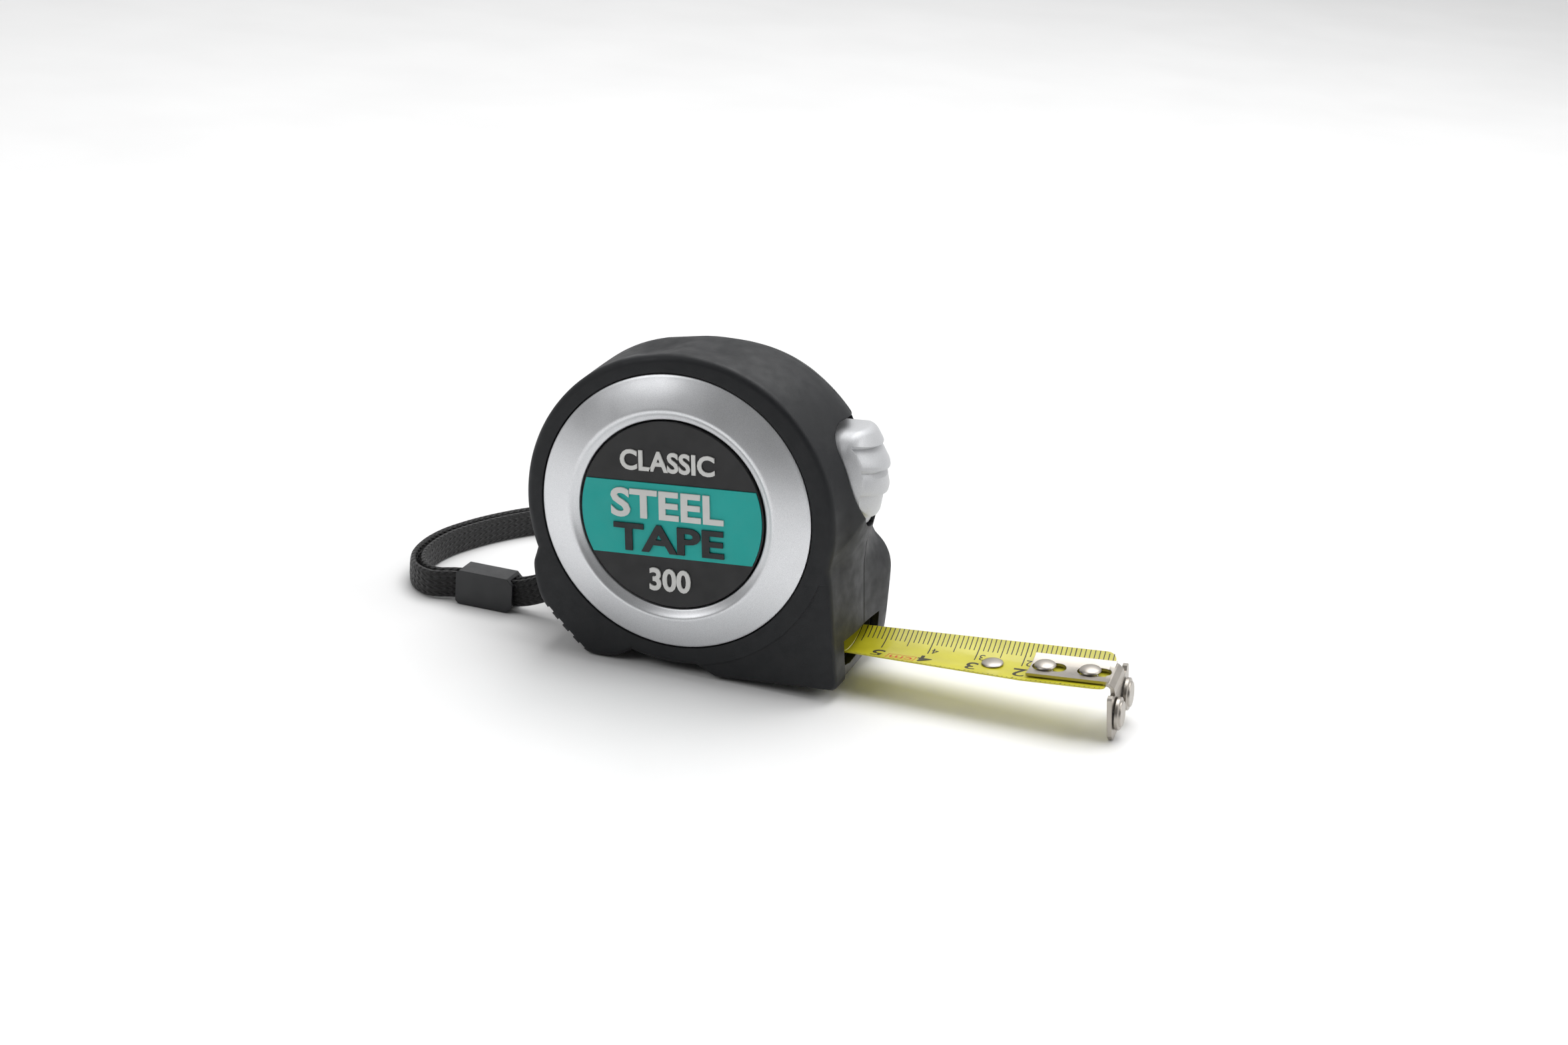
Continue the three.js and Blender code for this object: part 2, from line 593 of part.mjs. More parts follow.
// Front face of the button at [y, z]: it bulges and falls back towards its foot, top and sides.
function buttonFront(y, z) {
  const { x, fallDown, fallUp, fallSide } = BUTTON_FRONT;
  const rise = (z - BUTTON_FRONT.z) / 10;
  return x - (rise < 0 ? fallDown : fallUp) * rise ** 2 - fallSide * (y / BUTTON.halfWidth) ** 2;
}

function thumbButton() {
  const outline = buttonOutline(0, BUTTON.topZ);
  const rings = [outline.map(([y, z]) => [BUTTON.backX, y, z])];
  for (const [shrink, back] of [[0, BUTTON_FRONT.rounding], [0.06, 0.3], [0.15, 0], [0.4, 0], [0.65, 0], [0.9, 0]]) {
    rings.push(outline.map(([y, z]) => {
      const across = y * (1 - shrink);
      const up = BUTTON.waistZ + (z - BUTTON.waistZ) * (1 - shrink);
      return [buttonFront(across, up) - back, across, up];
    }));
  }
  const cap = loft(rings, ([, y, z]) => [y, z]);
  const hollow = block(BUTTON.backX + KEEPER.thickness, 36.0, -4.2, 4.2, 1.5, 13.5);
  const mouth = block(BUTTON.backX - 1, BUTTON.backX + 2, -2.2, 2.2, 9.5, 13.5);
  const keeper = block(BUTTON.backX, BUTTON.backX + KEEPER.thickness, KEEPER.y0, KEEPER.y1, KEEPER.z0, KEEPER.z1);
  return cap.subtract(hollow).add(keeper).subtract(mouth);
}

// Brake lever: the button pushes its upright arm in, and its foot lifts the pad off the blade.
function brakeLever() {
  const { x, z } = LEVER_PIVOT;
  const boss = rodY(x, z, 2.4, -4, 4, 20);
  const arm = prismY([
    [x, z - 2.3], [27.2, -26.6], [28.8, -24.6], [28.8, 7.8], [26.4, 7.8], [25.4, -19.6], [24.0, -21.6], [x, z + 2.4],
  ], -4, 4);
  const foot = block(PAD.x0, PAD.x1, -7.4, 7.4, -26.6, -25.0);
  const bore = rodY(x, z, LEVER_PIVOT.pin + 0.05, -6, 6, 20);
  return addAll(arm, [boss, foot]).subtract(bore);
}

function brakePad() {
  return block(PAD.x0, PAD.x1, -PAD.half, PAD.half, PAD.z0, PAD.z1);
}

function leverPin() {
  return rodY(LEVER_PIVOT.x, LEVER_PIVOT.z, LEVER_PIVOT.pin, -11.3, 11.3, 20);
}

// Torsion spring round the lever pin, with one leg along the lever's foot.
function leverSpring() {
  const radius = 1.85;
  const wire = 0.25;
  const turns = 4;
  const steps = 10;
  const points = [];
  for (let i = 0; i <= turns * steps; i += 1) {
    const angle = Math.PI / 2 - (i / steps) * Math.PI * 2;
    points.push(new THREE.Vector3(
      LEVER_PIVOT.x + radius * Math.cos(angle), mix(4.7, 7.6, i / (turns * steps)),
      LEVER_PIVOT.z + radius * Math.sin(angle)));
  }
  points.push(new THREE.Vector3(LEVER_PIVOT.x + 4, 7.6, LEVER_PIVOT.z + radius - 0.05));
  points.push(new THREE.Vector3(LEVER_PIVOT.x + 7.4, 7.6, LEVER_PIVOT.z + radius - 0.1));
  return geometryOf(solid(tube(new THREE.CatmullRomCurve3(points), sectionShape(wire * 2, wire * 2, 6), 90)));
}

// ---------------------------------------------------------------- fasteners, clip and strap

function caseScrew(x, z) {
  const head = rodY(x, z, BOSS.head, BOSS.headY, BOSS.headY + BOSS.headHeight, 18);
  return rodY(x, z, BOSS.screw, -5.6, BOSS.headY + 0.2, 14).add(head);
}

// Sprung steel belt clip, screwed on at its top and free at its lower end.
function beltClip() {
  const inner = [[18.0, 13.0], [18.0, 5.0], [22.0, 0.0], [22.2, -9.0], [20.2, -15.0], [18.4, -17.2], [20.6, -19.8]];
  const outer = [[21.4, -19.4], [19.6, -17.2], [21.1, -15.2], [23.2, -9.2], [23.0, 0.3], [19.0, 5.6], [19.0, 13.0]];
  const leaf = prismX([...inner, ...outer], -7, 7);
  return leaf.subtract(rodY(0, 8.5, 1.9, 14, 22, 20));
}

function clipScrew() {
  return rodY(0, 8.5, 1.5, 18.1, 19.4, 18).add(rodY(0, 8.5, 3.0, 19.3, 20.6, 24));
}

function strapPin() {
  return rodY(STRAP_PIN.x, STRAP_PIN.z, STRAP_PIN.radius, -11.3, 11.3, 20);
}

// Closed section of a strap or wire with the given number of sides, wide along its first axis.
function sectionShape(wide, thick, sides) {
  const points = [];
  for (let i = 0; i < sides; i += 1) {
    const angle = ((i + 0.5) / sides) * Math.PI * 2;
    const squarer = (value) => Math.sign(value) * Math.abs(value) ** 0.6;
    points.push(new THREE.Vector2((wide / 2) * squarer(Math.cos(angle)), (thick / 2) * squarer(Math.sin(angle))));
  }
  return new THREE.Shape(points);
}

function tube(path, shape, steps) {
  return new THREE.ExtrudeGeometry(shape, { steps, bevelEnabled: false, extrudePath: path });
}

// Both strands of the strap and the open end of its loop, as one open line.
function strapLine() {
  const beside = (side) => STRAP_PATH.map(([x, y, z], i) => {
    const next = STRAP_PATH[Math.min(i + 1, STRAP_PATH.length - 1)];
    const last = STRAP_PATH[Math.max(i - 1, 0)];
    const along = new THREE.Vector2(next[0] - last[0], next[1] - last[1]).normalize();
    const offset = side * STRAP.halfSpacing;
    return new THREE.Vector3(x + along.y * offset, y - along.x * offset, z);
  });
  const end = STRAP_END.map(([x, y, z]) => new THREE.Vector3(x, y, z));
  return new THREE.CatmullRomCurve3([...beside(-1), ...end, ...beside(1).reverse()]);
}

function wristStrap() {
  return solid(tube(strapLine(), sectionShape(STRAP.thickness, STRAP.width, 8), 72));
}

// Small sleeve that holds the two strands together.
function strapSlider() {
  const { x0, x1, half, z0, z1, slotHalf, wall } = SLIDER;
  const bevel = 1.4;
  const body = prismY([
    [x0 + bevel / 2, z0], [x1 - bevel, z0], [x1, z0 + bevel], [x1, z1 - bevel], [x1 - bevel, z1],
    [x0 + bevel / 2, z1], [x0, z1 - bevel / 2], [x0, z0 + bevel / 2],
  ], -half, half);
  return body.subtract(block(x0 - 1, x1 + 1, -slotHalf, slotHalf, z0 + wall, z1 - wall));
}

// ---------------------------------------------------------------- assembly

const finishes = {
  shell: [0x202224, 0.6, 0.0],
  rubber: [0x2b2d2f, 0.85, 0.0],
  silver: [0xc4c6c8, 0.35, 0.6],
  badge: [0x161718, 0.6, 0.0],
  steel: [0xb8b6b0, 0.25, 0.9],
  nickel: [0xcfccc4, 0.2, 1.0],
  blade: [0xd8c81e, 0.4, 0.0],
  nylon: [0x3a3c3e, 0.5, 0.0],
  brass: [0xb09040, 0.35, 0.9],
  pad: [0x1a1a1a, 0.9, 0.0],
  webbing: [0x101010, 0.7, 0.0],
};

function material(name) {
  const [color, roughness, metalness] = finishes[name];
  return new THREE.MeshStandardMaterial({ color, roughness, metalness });
}

const tape = new THREE.Group();
const standing = new THREE.Group();
tape.add(standing);

function place(name, finish, body, group = standing) {
  const geometry = body.isBufferGeometry ? body : geometryOf(body);
  const mesh = new THREE.Mesh(geometry, material(finish));
  mesh.name = name;
  group.add(mesh);
  return mesh;
}

for (const [name, side] of [['left', -1], ['right', 1]]) {
  place(`${name}_shell`, 'shell', shell(side));
  place(`${name}_overmould`, 'rubber', overmould(side));
  place(`${name}_bezel_ring`, 'silver', bezel(side));
  place(`${name}_badge`, 'badge', badge(side));
}
place('mouth_guide', 'nylon', mouthGuide());
place('spool_post', 'steel', spoolPost());
place('reel_drum', 'nylon', reelDrum());
place('drum_cover', 'nylon', drumCover());
place('power_spring', 'steel', powerSpring());
place('blade_coil', 'blade', bladeCoil());
place('blade_feed', 'blade', bladeFeed());
place('blade', 'blade', blade());
place('stop_rivet', 'brass', rivet(STOP_RIVET_X, BLADE_CENTRE_Z + GAP, 0.5, 2.4));
RIVET_X.forEach((x, i) => place(`hook_rivet_${i + 1}`, 'nickel', rivet(x, BLADE_CENTRE_Z + 1.3, 0.8, 2.3)));
place('end_hook', 'nickel', endHook());
place('hook_magnet_left', 'nickel', hookMagnet(-1));
place('hook_magnet_right', 'nickel', hookMagnet(1));
place('thumb_button', 'silver', thumbButton());
place('brake_lever', 'nylon', brakeLever());
place('brake_pad', 'pad', brakePad());
place('lever_pin', 'steel', leverPin());
place('lever_spring', 'steel', leverSpring());
BOSSES.forEach(([x, z], i) => place(`case_screw_${i + 1}`, 'steel', caseScrew(x, z)));
place('belt_clip', 'nickel', beltClip());
place('clip_screw', 'nickel', clipScrew());
place('strap_pin', 'steel', strapPin());

const hookTip = { x: HOOK.x + HOOK.thickness, z: rolled([1.2 - HOOK.faceHalf, HOOK.tipZ], TWIST.angle)[1] };
const REST_LEAN = Math.atan2(HEEL.z - hookTip.z, hookTip.x - HEEL.x);
standing.rotation.y = -REST_LEAN;
tape.updateMatrixWorld(true);
const box = new THREE.Box3().setFromObject(tape, true);
standing.position.set(-(box.min.x + box.max.x) / 2, -(box.min.y + box.max.y) / 2, -box.min.z);
tape.updateMatrixWorld(true);

const onTable = new THREE.Group();
onTable.position.set(standing.position.x, standing.position.y, 0);
tape.add(onTable);
place('wrist_strap', 'webbing', wristStrap(), onTable);
place('strap_slider', 'nylon', strapSlider(), onTable);

export default tape;
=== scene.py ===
import bmesh
import bpy
import math
from mathutils import Matrix, Vector


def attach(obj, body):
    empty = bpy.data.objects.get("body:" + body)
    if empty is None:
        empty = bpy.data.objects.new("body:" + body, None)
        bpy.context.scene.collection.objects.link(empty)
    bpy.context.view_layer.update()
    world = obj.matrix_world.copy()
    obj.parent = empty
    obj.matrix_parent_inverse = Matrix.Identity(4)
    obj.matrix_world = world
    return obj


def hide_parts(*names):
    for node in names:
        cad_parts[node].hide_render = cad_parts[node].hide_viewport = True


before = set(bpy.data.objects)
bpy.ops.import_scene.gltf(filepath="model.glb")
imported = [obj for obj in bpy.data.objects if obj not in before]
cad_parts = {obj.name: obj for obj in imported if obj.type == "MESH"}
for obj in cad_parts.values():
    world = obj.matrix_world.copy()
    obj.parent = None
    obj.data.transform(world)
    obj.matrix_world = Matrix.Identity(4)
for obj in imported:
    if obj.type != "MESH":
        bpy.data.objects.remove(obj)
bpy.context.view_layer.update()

# ---------------------------------------------------------------- frames
# Case pieces are drawn in millimetres in the case frame: the reel axis is along Y through the origin,
# +X points at the mouth, +Z is up. The case leans back as it stands.

# The lean is in radians. The reel's place is in metres, in the frame.
LEAN = 0.0860384
REEL_FOOT = (-0.0305758, -0.0025)
REEL_HEIGHT = 0.03516
CASE = Matrix.Translation((*REEL_FOOT, REEL_HEIGHT)) @ Matrix.Rotation(-LEAN, 4, "Y")
CASE_MM = CASE @ Matrix.Scale(0.001, 4)

# ---------------------------------------------------------------- camera
LENS_MM = 60.76
SENSOR_MM = 36.0
CAMERA_AT = (0.14209, -0.49509, 0.22149)
AZIMUTH, ELEVATION, ROLL = (math.radians(a) for a in (17.368, 20.209, 4.337))


def make_camera():
    """Camera at the photographer's place, rolled about its own line of sight."""
    back = Vector((math.sin(AZIMUTH) * math.cos(ELEVATION), -math.cos(AZIMUTH) * math.cos(ELEVATION),
                   math.sin(ELEVATION)))
    right = Vector((math.cos(AZIMUTH), math.sin(AZIMUTH), 0))
    up = back.cross(right)
    rolled = right * math.cos(ROLL) + up * math.sin(ROLL)
    upright = up * math.cos(ROLL) - right * math.sin(ROLL)
    data = bpy.data.cameras.new("camera")
    data.lens = LENS_MM
    data.sensor_width = SENSOR_MM
    data.sensor_fit = "HORIZONTAL"
    data.clip_start = 0.01
    data.clip_end = 20
    cam = bpy.data.objects.new("camera", data)
    cam.matrix_world = Matrix.Translation(CAMERA_AT) @ Matrix((rolled, upright, back)).transposed().to_4x4()
    bpy.context.scene.collection.objects.link(cam)
    bpy.context.scene.camera = cam


make_camera()

# ---------------------------------------------------------------- mesh helpers


def link(name, mesh):
    obj = bpy.data.objects.new(name, mesh)
    bpy.context.scene.collection.objects.link(obj)
    return obj


def mesh_object(name, verts, faces, matrix=CASE_MM):
    """Object from points in the case frame, in millimetres, with its normals facing out."""
    mesh = bpy.data.meshes.new(name)
    mesh.from_pydata([matrix @ Vector(v) for v in verts], [], faces)
    bm = bmesh.new()
    bm.from_mesh(mesh)
    bmesh.ops.recalc_face_normals(bm, faces=bm.faces)
    bm.to_mesh(mesh)
    bm.free()
    return link(name, mesh)


def smooth(obj, angle=32):
    """Smooth shading, with edges kept sharper than angle."""
    mesh = obj.data
    mesh.polygons.foreach_set("use_smooth", [True] * len(mesh.polygons))
    mesh.set_sharp_from_angle(angle=math.radians(angle))
    return obj


def loft(name, rings, closed_ends=True):
    """Closed body through rings of equal counts."""
    n = len(rings[0])
    verts = [v for ring in rings for v in ring]
    faces = []
    for k in range(len(rings) - 1):
        for i in range(n):
            a, b = k * n + i, k * n + (i + 1) % n
            faces.append((a, b, b + n, a + n))
    if closed_ends:
        faces.append(tuple(range(n)))
        faces.append(tuple((len(rings) - 1) * n + i for i in reversed(range(n))))
    return mesh_object(name, verts, faces)


def prism_y(name, points, y0, y1):
    return loft(name, [[(x, y, z) for x, z in points] for y in (y0, y1)])


def prism_x(name, points, x0, x1):
    return loft(name, [[(x, y, z) for y, z in points] for x in (x0, x1)])


def block(name, x0, x1, y0, y1, z0, z1):
    return prism_y(name, [(x0, z0), (x1, z0), (x1, z1), (x0, z1)], y0, y1)


def turned(name, profile, axis="Y", at=(0, 0, 0), steps=128):
    """Closed profile of (radius, along) points turned about an axis. A radius of 0 makes a pole."""
    verts, faces, rows = [], [], []
    for r, h in profile:
        row = []
        count = 1 if r == 0 else steps
        for i in range(count):
            a = 2 * math.pi * i / steps
            u, v = r * math.cos(a), r * math.sin(a)
            p = {"Y": (u, h, v), "Z": (u, v, h), "X": (h, u, v)}[axis]
            row.append(len(verts))
            verts.append(tuple(c + o for c, o in zip(p, at)))
        rows.append(row)
    pairs = list(zip(rows, rows[1:]))
    if len(rows[0]) > 1 and len(rows[-1]) > 1:
        pairs.append((rows[-1], rows[0]))
    for a, b in pairs:
        if len(a) == 1 and len(b) == 1:
            continue
        for i in range(steps):
            j = (i + 1) % steps
            if len(a) == 1:
                faces.append((a[0], b[j], b[i]))
            elif len(b) == 1:
                faces.append((a[i], a[j], b[0]))
            else:
                faces.append((a[i], a[j], b[j], b[i]))
    return mesh_object(name, verts, faces)


def combine(obj, others, operation="DIFFERENCE"):
    """Cuts or joins other objects into obj and removes them."""
    for other in others:
        mod = obj.modifiers.new("cut", "BOOLEAN")
        mod.operation = operation
        mod.solver = "MANIFOLD"
        mod.object = other
        bpy.context.view_layer.update()
        done = bpy.data.meshes.new_from_object(obj.evaluated_get(bpy.context.evaluated_depsgraph_get()))
        obj.modifiers.clear()
        old = obj.data
        obj.data = done
        bpy.data.meshes.remove(old)
    for other in others:
        bpy.data.objects.remove(other)
    return obj


def dress(obj, material, body="case", replaces=()):
    """Gives a piece its material, the body that it rides on and the CAD nodes that it replaces."""
    obj.data.materials.clear()
    obj.data.materials.append(material)
    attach(obj, body)
    if replaces:
        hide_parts(*replaces)
    return obj


def arc(x, z, r, a0, a1, steps):
    """Points on a circle about (x, z), from angle a0 to a1 in degrees."""
    out = []
    for i in range(steps + 1):
        a = math.radians(a0 + (a1 - a0) * i / steps)
        out.append((x + r * math.cos(a), z + r * math.sin(a)))
    return out


def mix(a, b, t):
    return a + (b - a) * t


# ---------------------------------------------------------------- materials

ROUGH_DRIFT, METAL_DRIFT = 0.08, 0.06
BEVEL_SAMPLES = 4
WARP_MM, WEFT_MM = 1.3, 1.7


class Nodes:
    """A small builder for one node material."""

    def __init__(self, name):
        self.material = bpy.data.materials.new(name)
        self.material.use_nodes = True
        self.tree = self.material.node_tree
        self.bsdf = self.tree.nodes["Principled BSDF"]
        self.coords = self.tree.nodes.new("ShaderNodeTexCoord").outputs["Object"]

    def new(self, kind, inputs=None, **settings):
        node = self.tree.nodes.new(kind)
        for key, value in settings.items():
            setattr(node, key, value)
        for key, value in (inputs or {}).items():
            self.put(node.inputs[key], value)
        return node

    def put(self, socket, value):
        if isinstance(value, bpy.types.NodeSocket):
            self.tree.links.new(value, socket)
        else:
            socket.default_value = value

    def noise(self, size_mm, detail=3.0, stretch=None):
        source = self.coords
        if stretch:
            stretched = self.new("ShaderNodeVectorMath", {0: source, 1: stretch}, operation="MULTIPLY")
            source = stretched.outputs[0]
        inputs = {"Vector": source, "Scale": 1000.0 / size_mm, "Detail": detail}
        return self.new("ShaderNodeTexNoise", inputs).outputs["Fac"]

    def remap(self, value, low, high, start=0.3, end=0.7):
        node = self.new("ShaderNodeMapRange", {"Value": value, "From Min": start, "From Max": end,
                                               "To Min": low, "To Max": high})
        return node.outputs["Result"]

    def math(self, operation, a, b=0.0):
        return self.new("ShaderNodeMath", {0: a, 1: b}, operation=operation).outputs[0]

    def blend(self, fac, a, b):
        node = self.new("ShaderNodeMix", {"Factor": fac}, data_type="RGBA")
        self.put(node.inputs[6], a)
        self.put(node.inputs[7], b)
        return node.outputs[2]

    def set(self, **values):
        for key, value in values.items():
            self.put(self.bsdf.inputs[key.replace("_", " ")], value)

    def bump(self, height, distance_mm, edge_mm=0.0):
        """Surface relief, with edges that catch light as if rounded by edge_mm."""
        inputs = {"Height": height, "Distance": distance_mm / 1000, "Strength": 1.0}
        if edge_mm:
            bevel = self.new("ShaderNodeBevel", {"Radius": edge_mm / 1000}, samples=BEVEL_SAMPLES)
            inputs["Normal"] = bevel.outputs["Normal"]
        self.put(self.bsdf.inputs["Normal"], self.new("ShaderNodeBump", inputs).outputs["Normal"])


def rgb(r, g, b):
    return (r, g, b, 1.0)


def shade(color, factor):
    return tuple(min(1.0, c * factor) for c in color[:3]) + (1.0,)


def moulded(name, color, rough=0.5, grain_mm=0.25, grain=0.02, vary=0.12, edge_mm=0.25, specular=0.5):
    """Moulded plastic or rubber: fine grain, slow colour drift, faint rubbed patches."""
    m = Nodes(name)
    drift = m.noise(14.0, 4.0)
    fine = m.noise(grain_mm, 2.0)
    m.set(Base_Color=m.blend(m.remap(drift, 0.0, 1.0), shade(color, 1 - vary), shade(color, 1 + vary)))
    m.set(Roughness=m.remap(m.noise(3.0, 5.0), rough - ROUGH_DRIFT, rough + ROUGH_DRIFT))
    m.bsdf.inputs["Specular IOR Level"].default_value = specular
    m.bump(fine, grain, edge_mm=edge_mm)
    return m.material


def metal(name, color, rough, scratch=0.004):
    """Plated or brushed metal: fine directional scratches and a cloudy roughness."""
    m = Nodes(name)
    lines = m.noise(0.5, 4.0, stretch=(1.0, 6.0, 6.0))
    cloud = m.noise(5.0, 5.0)
    dark, light = shade(color, 1 - METAL_DRIFT), shade(color, 1 + METAL_DRIFT)
    m.set(Base_Color=m.blend(m.remap(cloud, 0.0, 1.0), dark, light))
    m.set(Roughness=m.math("ADD", m.remap(lines, -0.05, 0.07), m.remap(cloud, rough * 0.8, rough * 1.25)))
    m.bsdf.inputs["Metallic"].default_value = 1.0
    m.bump(lines, scratch, edge_mm=0.15)
    return m.material


def silver_paint(name, metallic=0.72, rough=0.34, edge_mm=0.25, bright=1.0):
    """Satin silver paint with a fine metallic flake."""
    def lift(level):
        return rgb(level * bright, (level + 0.01) * bright, (level + 0.03) * bright)

    m = Nodes(name)
    flake = m.noise(0.12, 2.0)
    slow = m.noise(9.0, 3.0)
    tone = m.blend(m.remap(flake, 0.0, 1.0, 0.25, 0.75), lift(0.62), lift(0.86))
    m.set(Base_Color=tone, Roughness=m.remap(slow, rough - 0.04, rough + 0.04))
    m.bsdf.inputs["Metallic"].default_value = metallic
    m.bump(flake, 0.006, edge_mm=edge_mm)
    return m.material


def webbing_cloth(name):
    """Black woven webbing, with painted shade in the hollows of its weave. The weave follows the strap
    through its own two coordinates.
    """
    m = Nodes(name)
    lay = m.new("ShaderNodeAttribute", attribute_name="lay").outputs["Vector"]
    split = m.new("ShaderNodeSeparateXYZ", {0: lay})
    along, across = split.outputs[0], split.outputs[1]
    warp = m.math("SINE", m.math("MULTIPLY", across, 2 * math.pi / WARP_MM))
    wave = m.math("MULTIPLY", along, 2 * math.pi / WEFT_MM)
    weft = m.math("SINE", m.math("ADD", wave, m.math("MULTIPLY", warp, 1.5)))
    weave = m.math("MULTIPLY", m.math("ADD", weft, 1.0), m.math("ADD", warp, 1.2))
    fibre = m.noise(0.18, 3.0)
    height = m.math("ADD", m.math("MULTIPLY", weave, 0.25), m.math("MULTIPLY", fibre, 0.5))
    # Painted shade and highlight: the colour is darker in the weave's hollows and lighter on its crests,
    # following the weave's height.
    dark, light = rgb(0.002, 0.002, 0.002), rgb(0.011, 0.011, 0.012)
    m.set(Base_Color=m.blend(m.remap(weave, 0.0, 1.0, 0.2, 3.2), dark, light))
    m.set(Roughness=m.remap(fibre, 0.38, 0.62))
    m.bsdf.inputs["Sheen Weight"].default_value = 0.05
    m.bump(height, 0.6)
    return m.material


RUBBER = moulded("charcoal_rubber", rgb(0.0085, 0.0095, 0.0115), rough=0.52, grain_mm=0.22, grain=0.022,
                 edge_mm=0.35, specular=0.36)
SHELL = moulded("shell_plastic", rgb(0.012, 0.012, 0.013), rough=0.45, grain_mm=0.3, grain=0.01)
BADGE = moulded("badge_black", rgb(0.006, 0.006, 0.007), rough=0.42, grain_mm=0.2, grain=0.012, edge_mm=0.15)
TEAL = moulded("badge_teal", rgb(0.0, 0.42, 0.38), grain_mm=0.2, grain=0.012, vary=0.05, edge_mm=0.12)
RAISED_LIGHT = moulded("raised_light", rgb(0.72, 0.72, 0.70), rough=0.55, vary=0.04, edge_mm=0.12)
RAISED_DARK = moulded("raised_dark", rgb(0.012, 0.014, 0.016), edge_mm=0.12)
NYLON = moulded("grey_nylon", rgb(0.016, 0.017, 0.019), rough=0.42, grain_mm=0.3, grain=0.01, edge_mm=0.3)
PAD = moulded("brake_pad_rubber", rgb(0.01, 0.01, 0.01), rough=0.85)
SILVER = silver_paint("silver_paint")
BUTTON_SILVER = silver_paint("button_silver", metallic=0.4, rough=0.45, edge_mm=0.08, bright=0.72)
NICKEL = metal("nickel_plate", rgb(0.44, 0.41, 0.37), rough=0.36, scratch=0.0012)
STEEL = metal("plain_steel", rgb(0.55, 0.54, 0.52), rough=0.3)
WEBBING = webbing_cloth("woven_webbing")


def blade_lacquer(name):
    """Yellow lacquer with a slow drift in colour and a thin clear coat."""
    m = Nodes(name)
    slow = m.noise(6.0, 4.0)
    fine = m.noise(0.3, 3.0, stretch=(1.0, 3.0, 3.0))
    m.set(Base_Color=m.blend(m.remap(slow, 0.0, 1.0), rgb(0.56, 0.51, 0.014), rgb(0.66, 0.61, 0.028)))
    m.set(Roughness=m.remap(fine, 0.30, 0.42))
    m.bsdf.inputs["Coat Weight"].default_value = 0.3
    m.bsdf.inputs["Coat Roughness"].default_value = 0.15
    m.bump(fine, 0.006)
    return m.material


YELLOW = blade_lacquer("blade_lacquer")
INK = moulded("scale_ink", rgb(0.02, 0.016, 0.006), rough=0.5, vary=0.3, edge_mm=0.0)
RED_INK = moulded("scale_ink_red", rgb(0.55, 0.03, 0.01), rough=0.5, vary=0.15, edge_mm=0.0)

# ---------------------------------------------------------------- strap

# Both strands run beside STRAP_PATH and join round STRAP_END. Points are in millimetres from the reel's foot.
STRAP_WIDTH, STRAP_THICK, STRAP_HALF_SPACING = 6.0, 1.4, 1.1
STRAP_STEPS, STRAP_SIDES, RIPPLE_MM = 24, 16, 1.25
STRAP_PATH = [
    (-25.0, 0, 12.1), (-29.5, 0, 9.4), (-34.5, 0, 6.6), (-40.0, 0, 4.5), (-47.5, 0, 4.1), (-55.0, -0.1, 3.8),
    (-60.2, -1.2, 3.4), (-64.6, 1.2, 3.2), (-67.8, 6.5, 3.2), (-69.0, 13.5, 3.2), (-68.4, 21.5, 3.2),
    (-66.0, 29.0, 3.2), (-62.4, 36.5, 3.2), (-57.0, 44.5, 3.2), (-50.0, 51.0, 3.2), (-41.0, 55.5, 3.2),
    (-31.0, 57.5, 3.2),
]
STRAP_END = [
    (-22, 61, 3.2), (-12, 67.5, 3.2), (-1, 69.5, 3.2), (7.5, 65, 3.2), (10, 58, 3.2),
    (7.5, 51, 3.2), (-1, 46.5, 3.2), (-12, 48.5, 3.2), (-22, 55, 3.2),
]


def strap_points():
    """Middle line of the whole loop, out along one strand and back along the other, in metres."""
    def beside(side):
        out = []
        for i, (x, y, z) in enumerate(STRAP_PATH):
            nxt = STRAP_PATH[min(i + 1, len(STRAP_PATH) - 1)]
            last = STRAP_PATH[max(i - 1, 0)]
            along = Vector((nxt[0] - last[0], nxt[1] - last[1])).normalized()
            off = side * STRAP_HALF_SPACING
            out.append(Vector((x + along.y * off, y - along.x * off, z)))
        return out

    loop = [*beside(-1), *[Vector(p) for p in STRAP_END], *reversed(beside(1))]
    return [Vector((p.x / 1000 + REEL_FOOT[0], p.y / 1000 + REEL_FOOT[1], p.z / 1000)) for p in loop]


def centripetal(points, per_span):
    """Smooth line through the points, as a centripetal Catmull-Rom spline."""
    pts = [points[0] * 2 - points[1], *points, points[-1] * 2 - points[-2]]
    out = []
    for i in range(1, len(pts) - 2):
        p0, p1, p2, p3 = pts[i - 1:i + 3]
        t0 = 0.0
        t1 = t0 + (p1 - p0).length ** 0.5
        t2 = t1 + (p2 - p1).length ** 0.5
        t3 = t2 + (p3 - p2).length ** 0.5
        for k in range(per_span):
            t = t1 + (t2 - t1) * k / per_span
            a1 = p0 * ((t1 - t) / (t1 - t0)) + p1 * ((t - t0) / (t1 - t0))
            a2 = p1 * ((t2 - t) / (t2 - t1)) + p2 * ((t - t1) / (t2 - t1))
            a3 = p2 * ((t3 - t) / (t3 - t2)) + p3 * ((t - t2) / (t3 - t2))
            b1 = a1 * ((t2 - t) / (t2 - t0)) + a2 * ((t - t0) / (t2 - t0))
            b2 = a2 * ((t3 - t) / (t3 - t1)) + a3 * ((t - t1) / (t3 - t1))
            out.append(b1 * ((t2 - t) / (t2 - t1)) + b2 * ((t - t1) / (t2 - t1)))
    out.append(points[-1].copy())
    return out


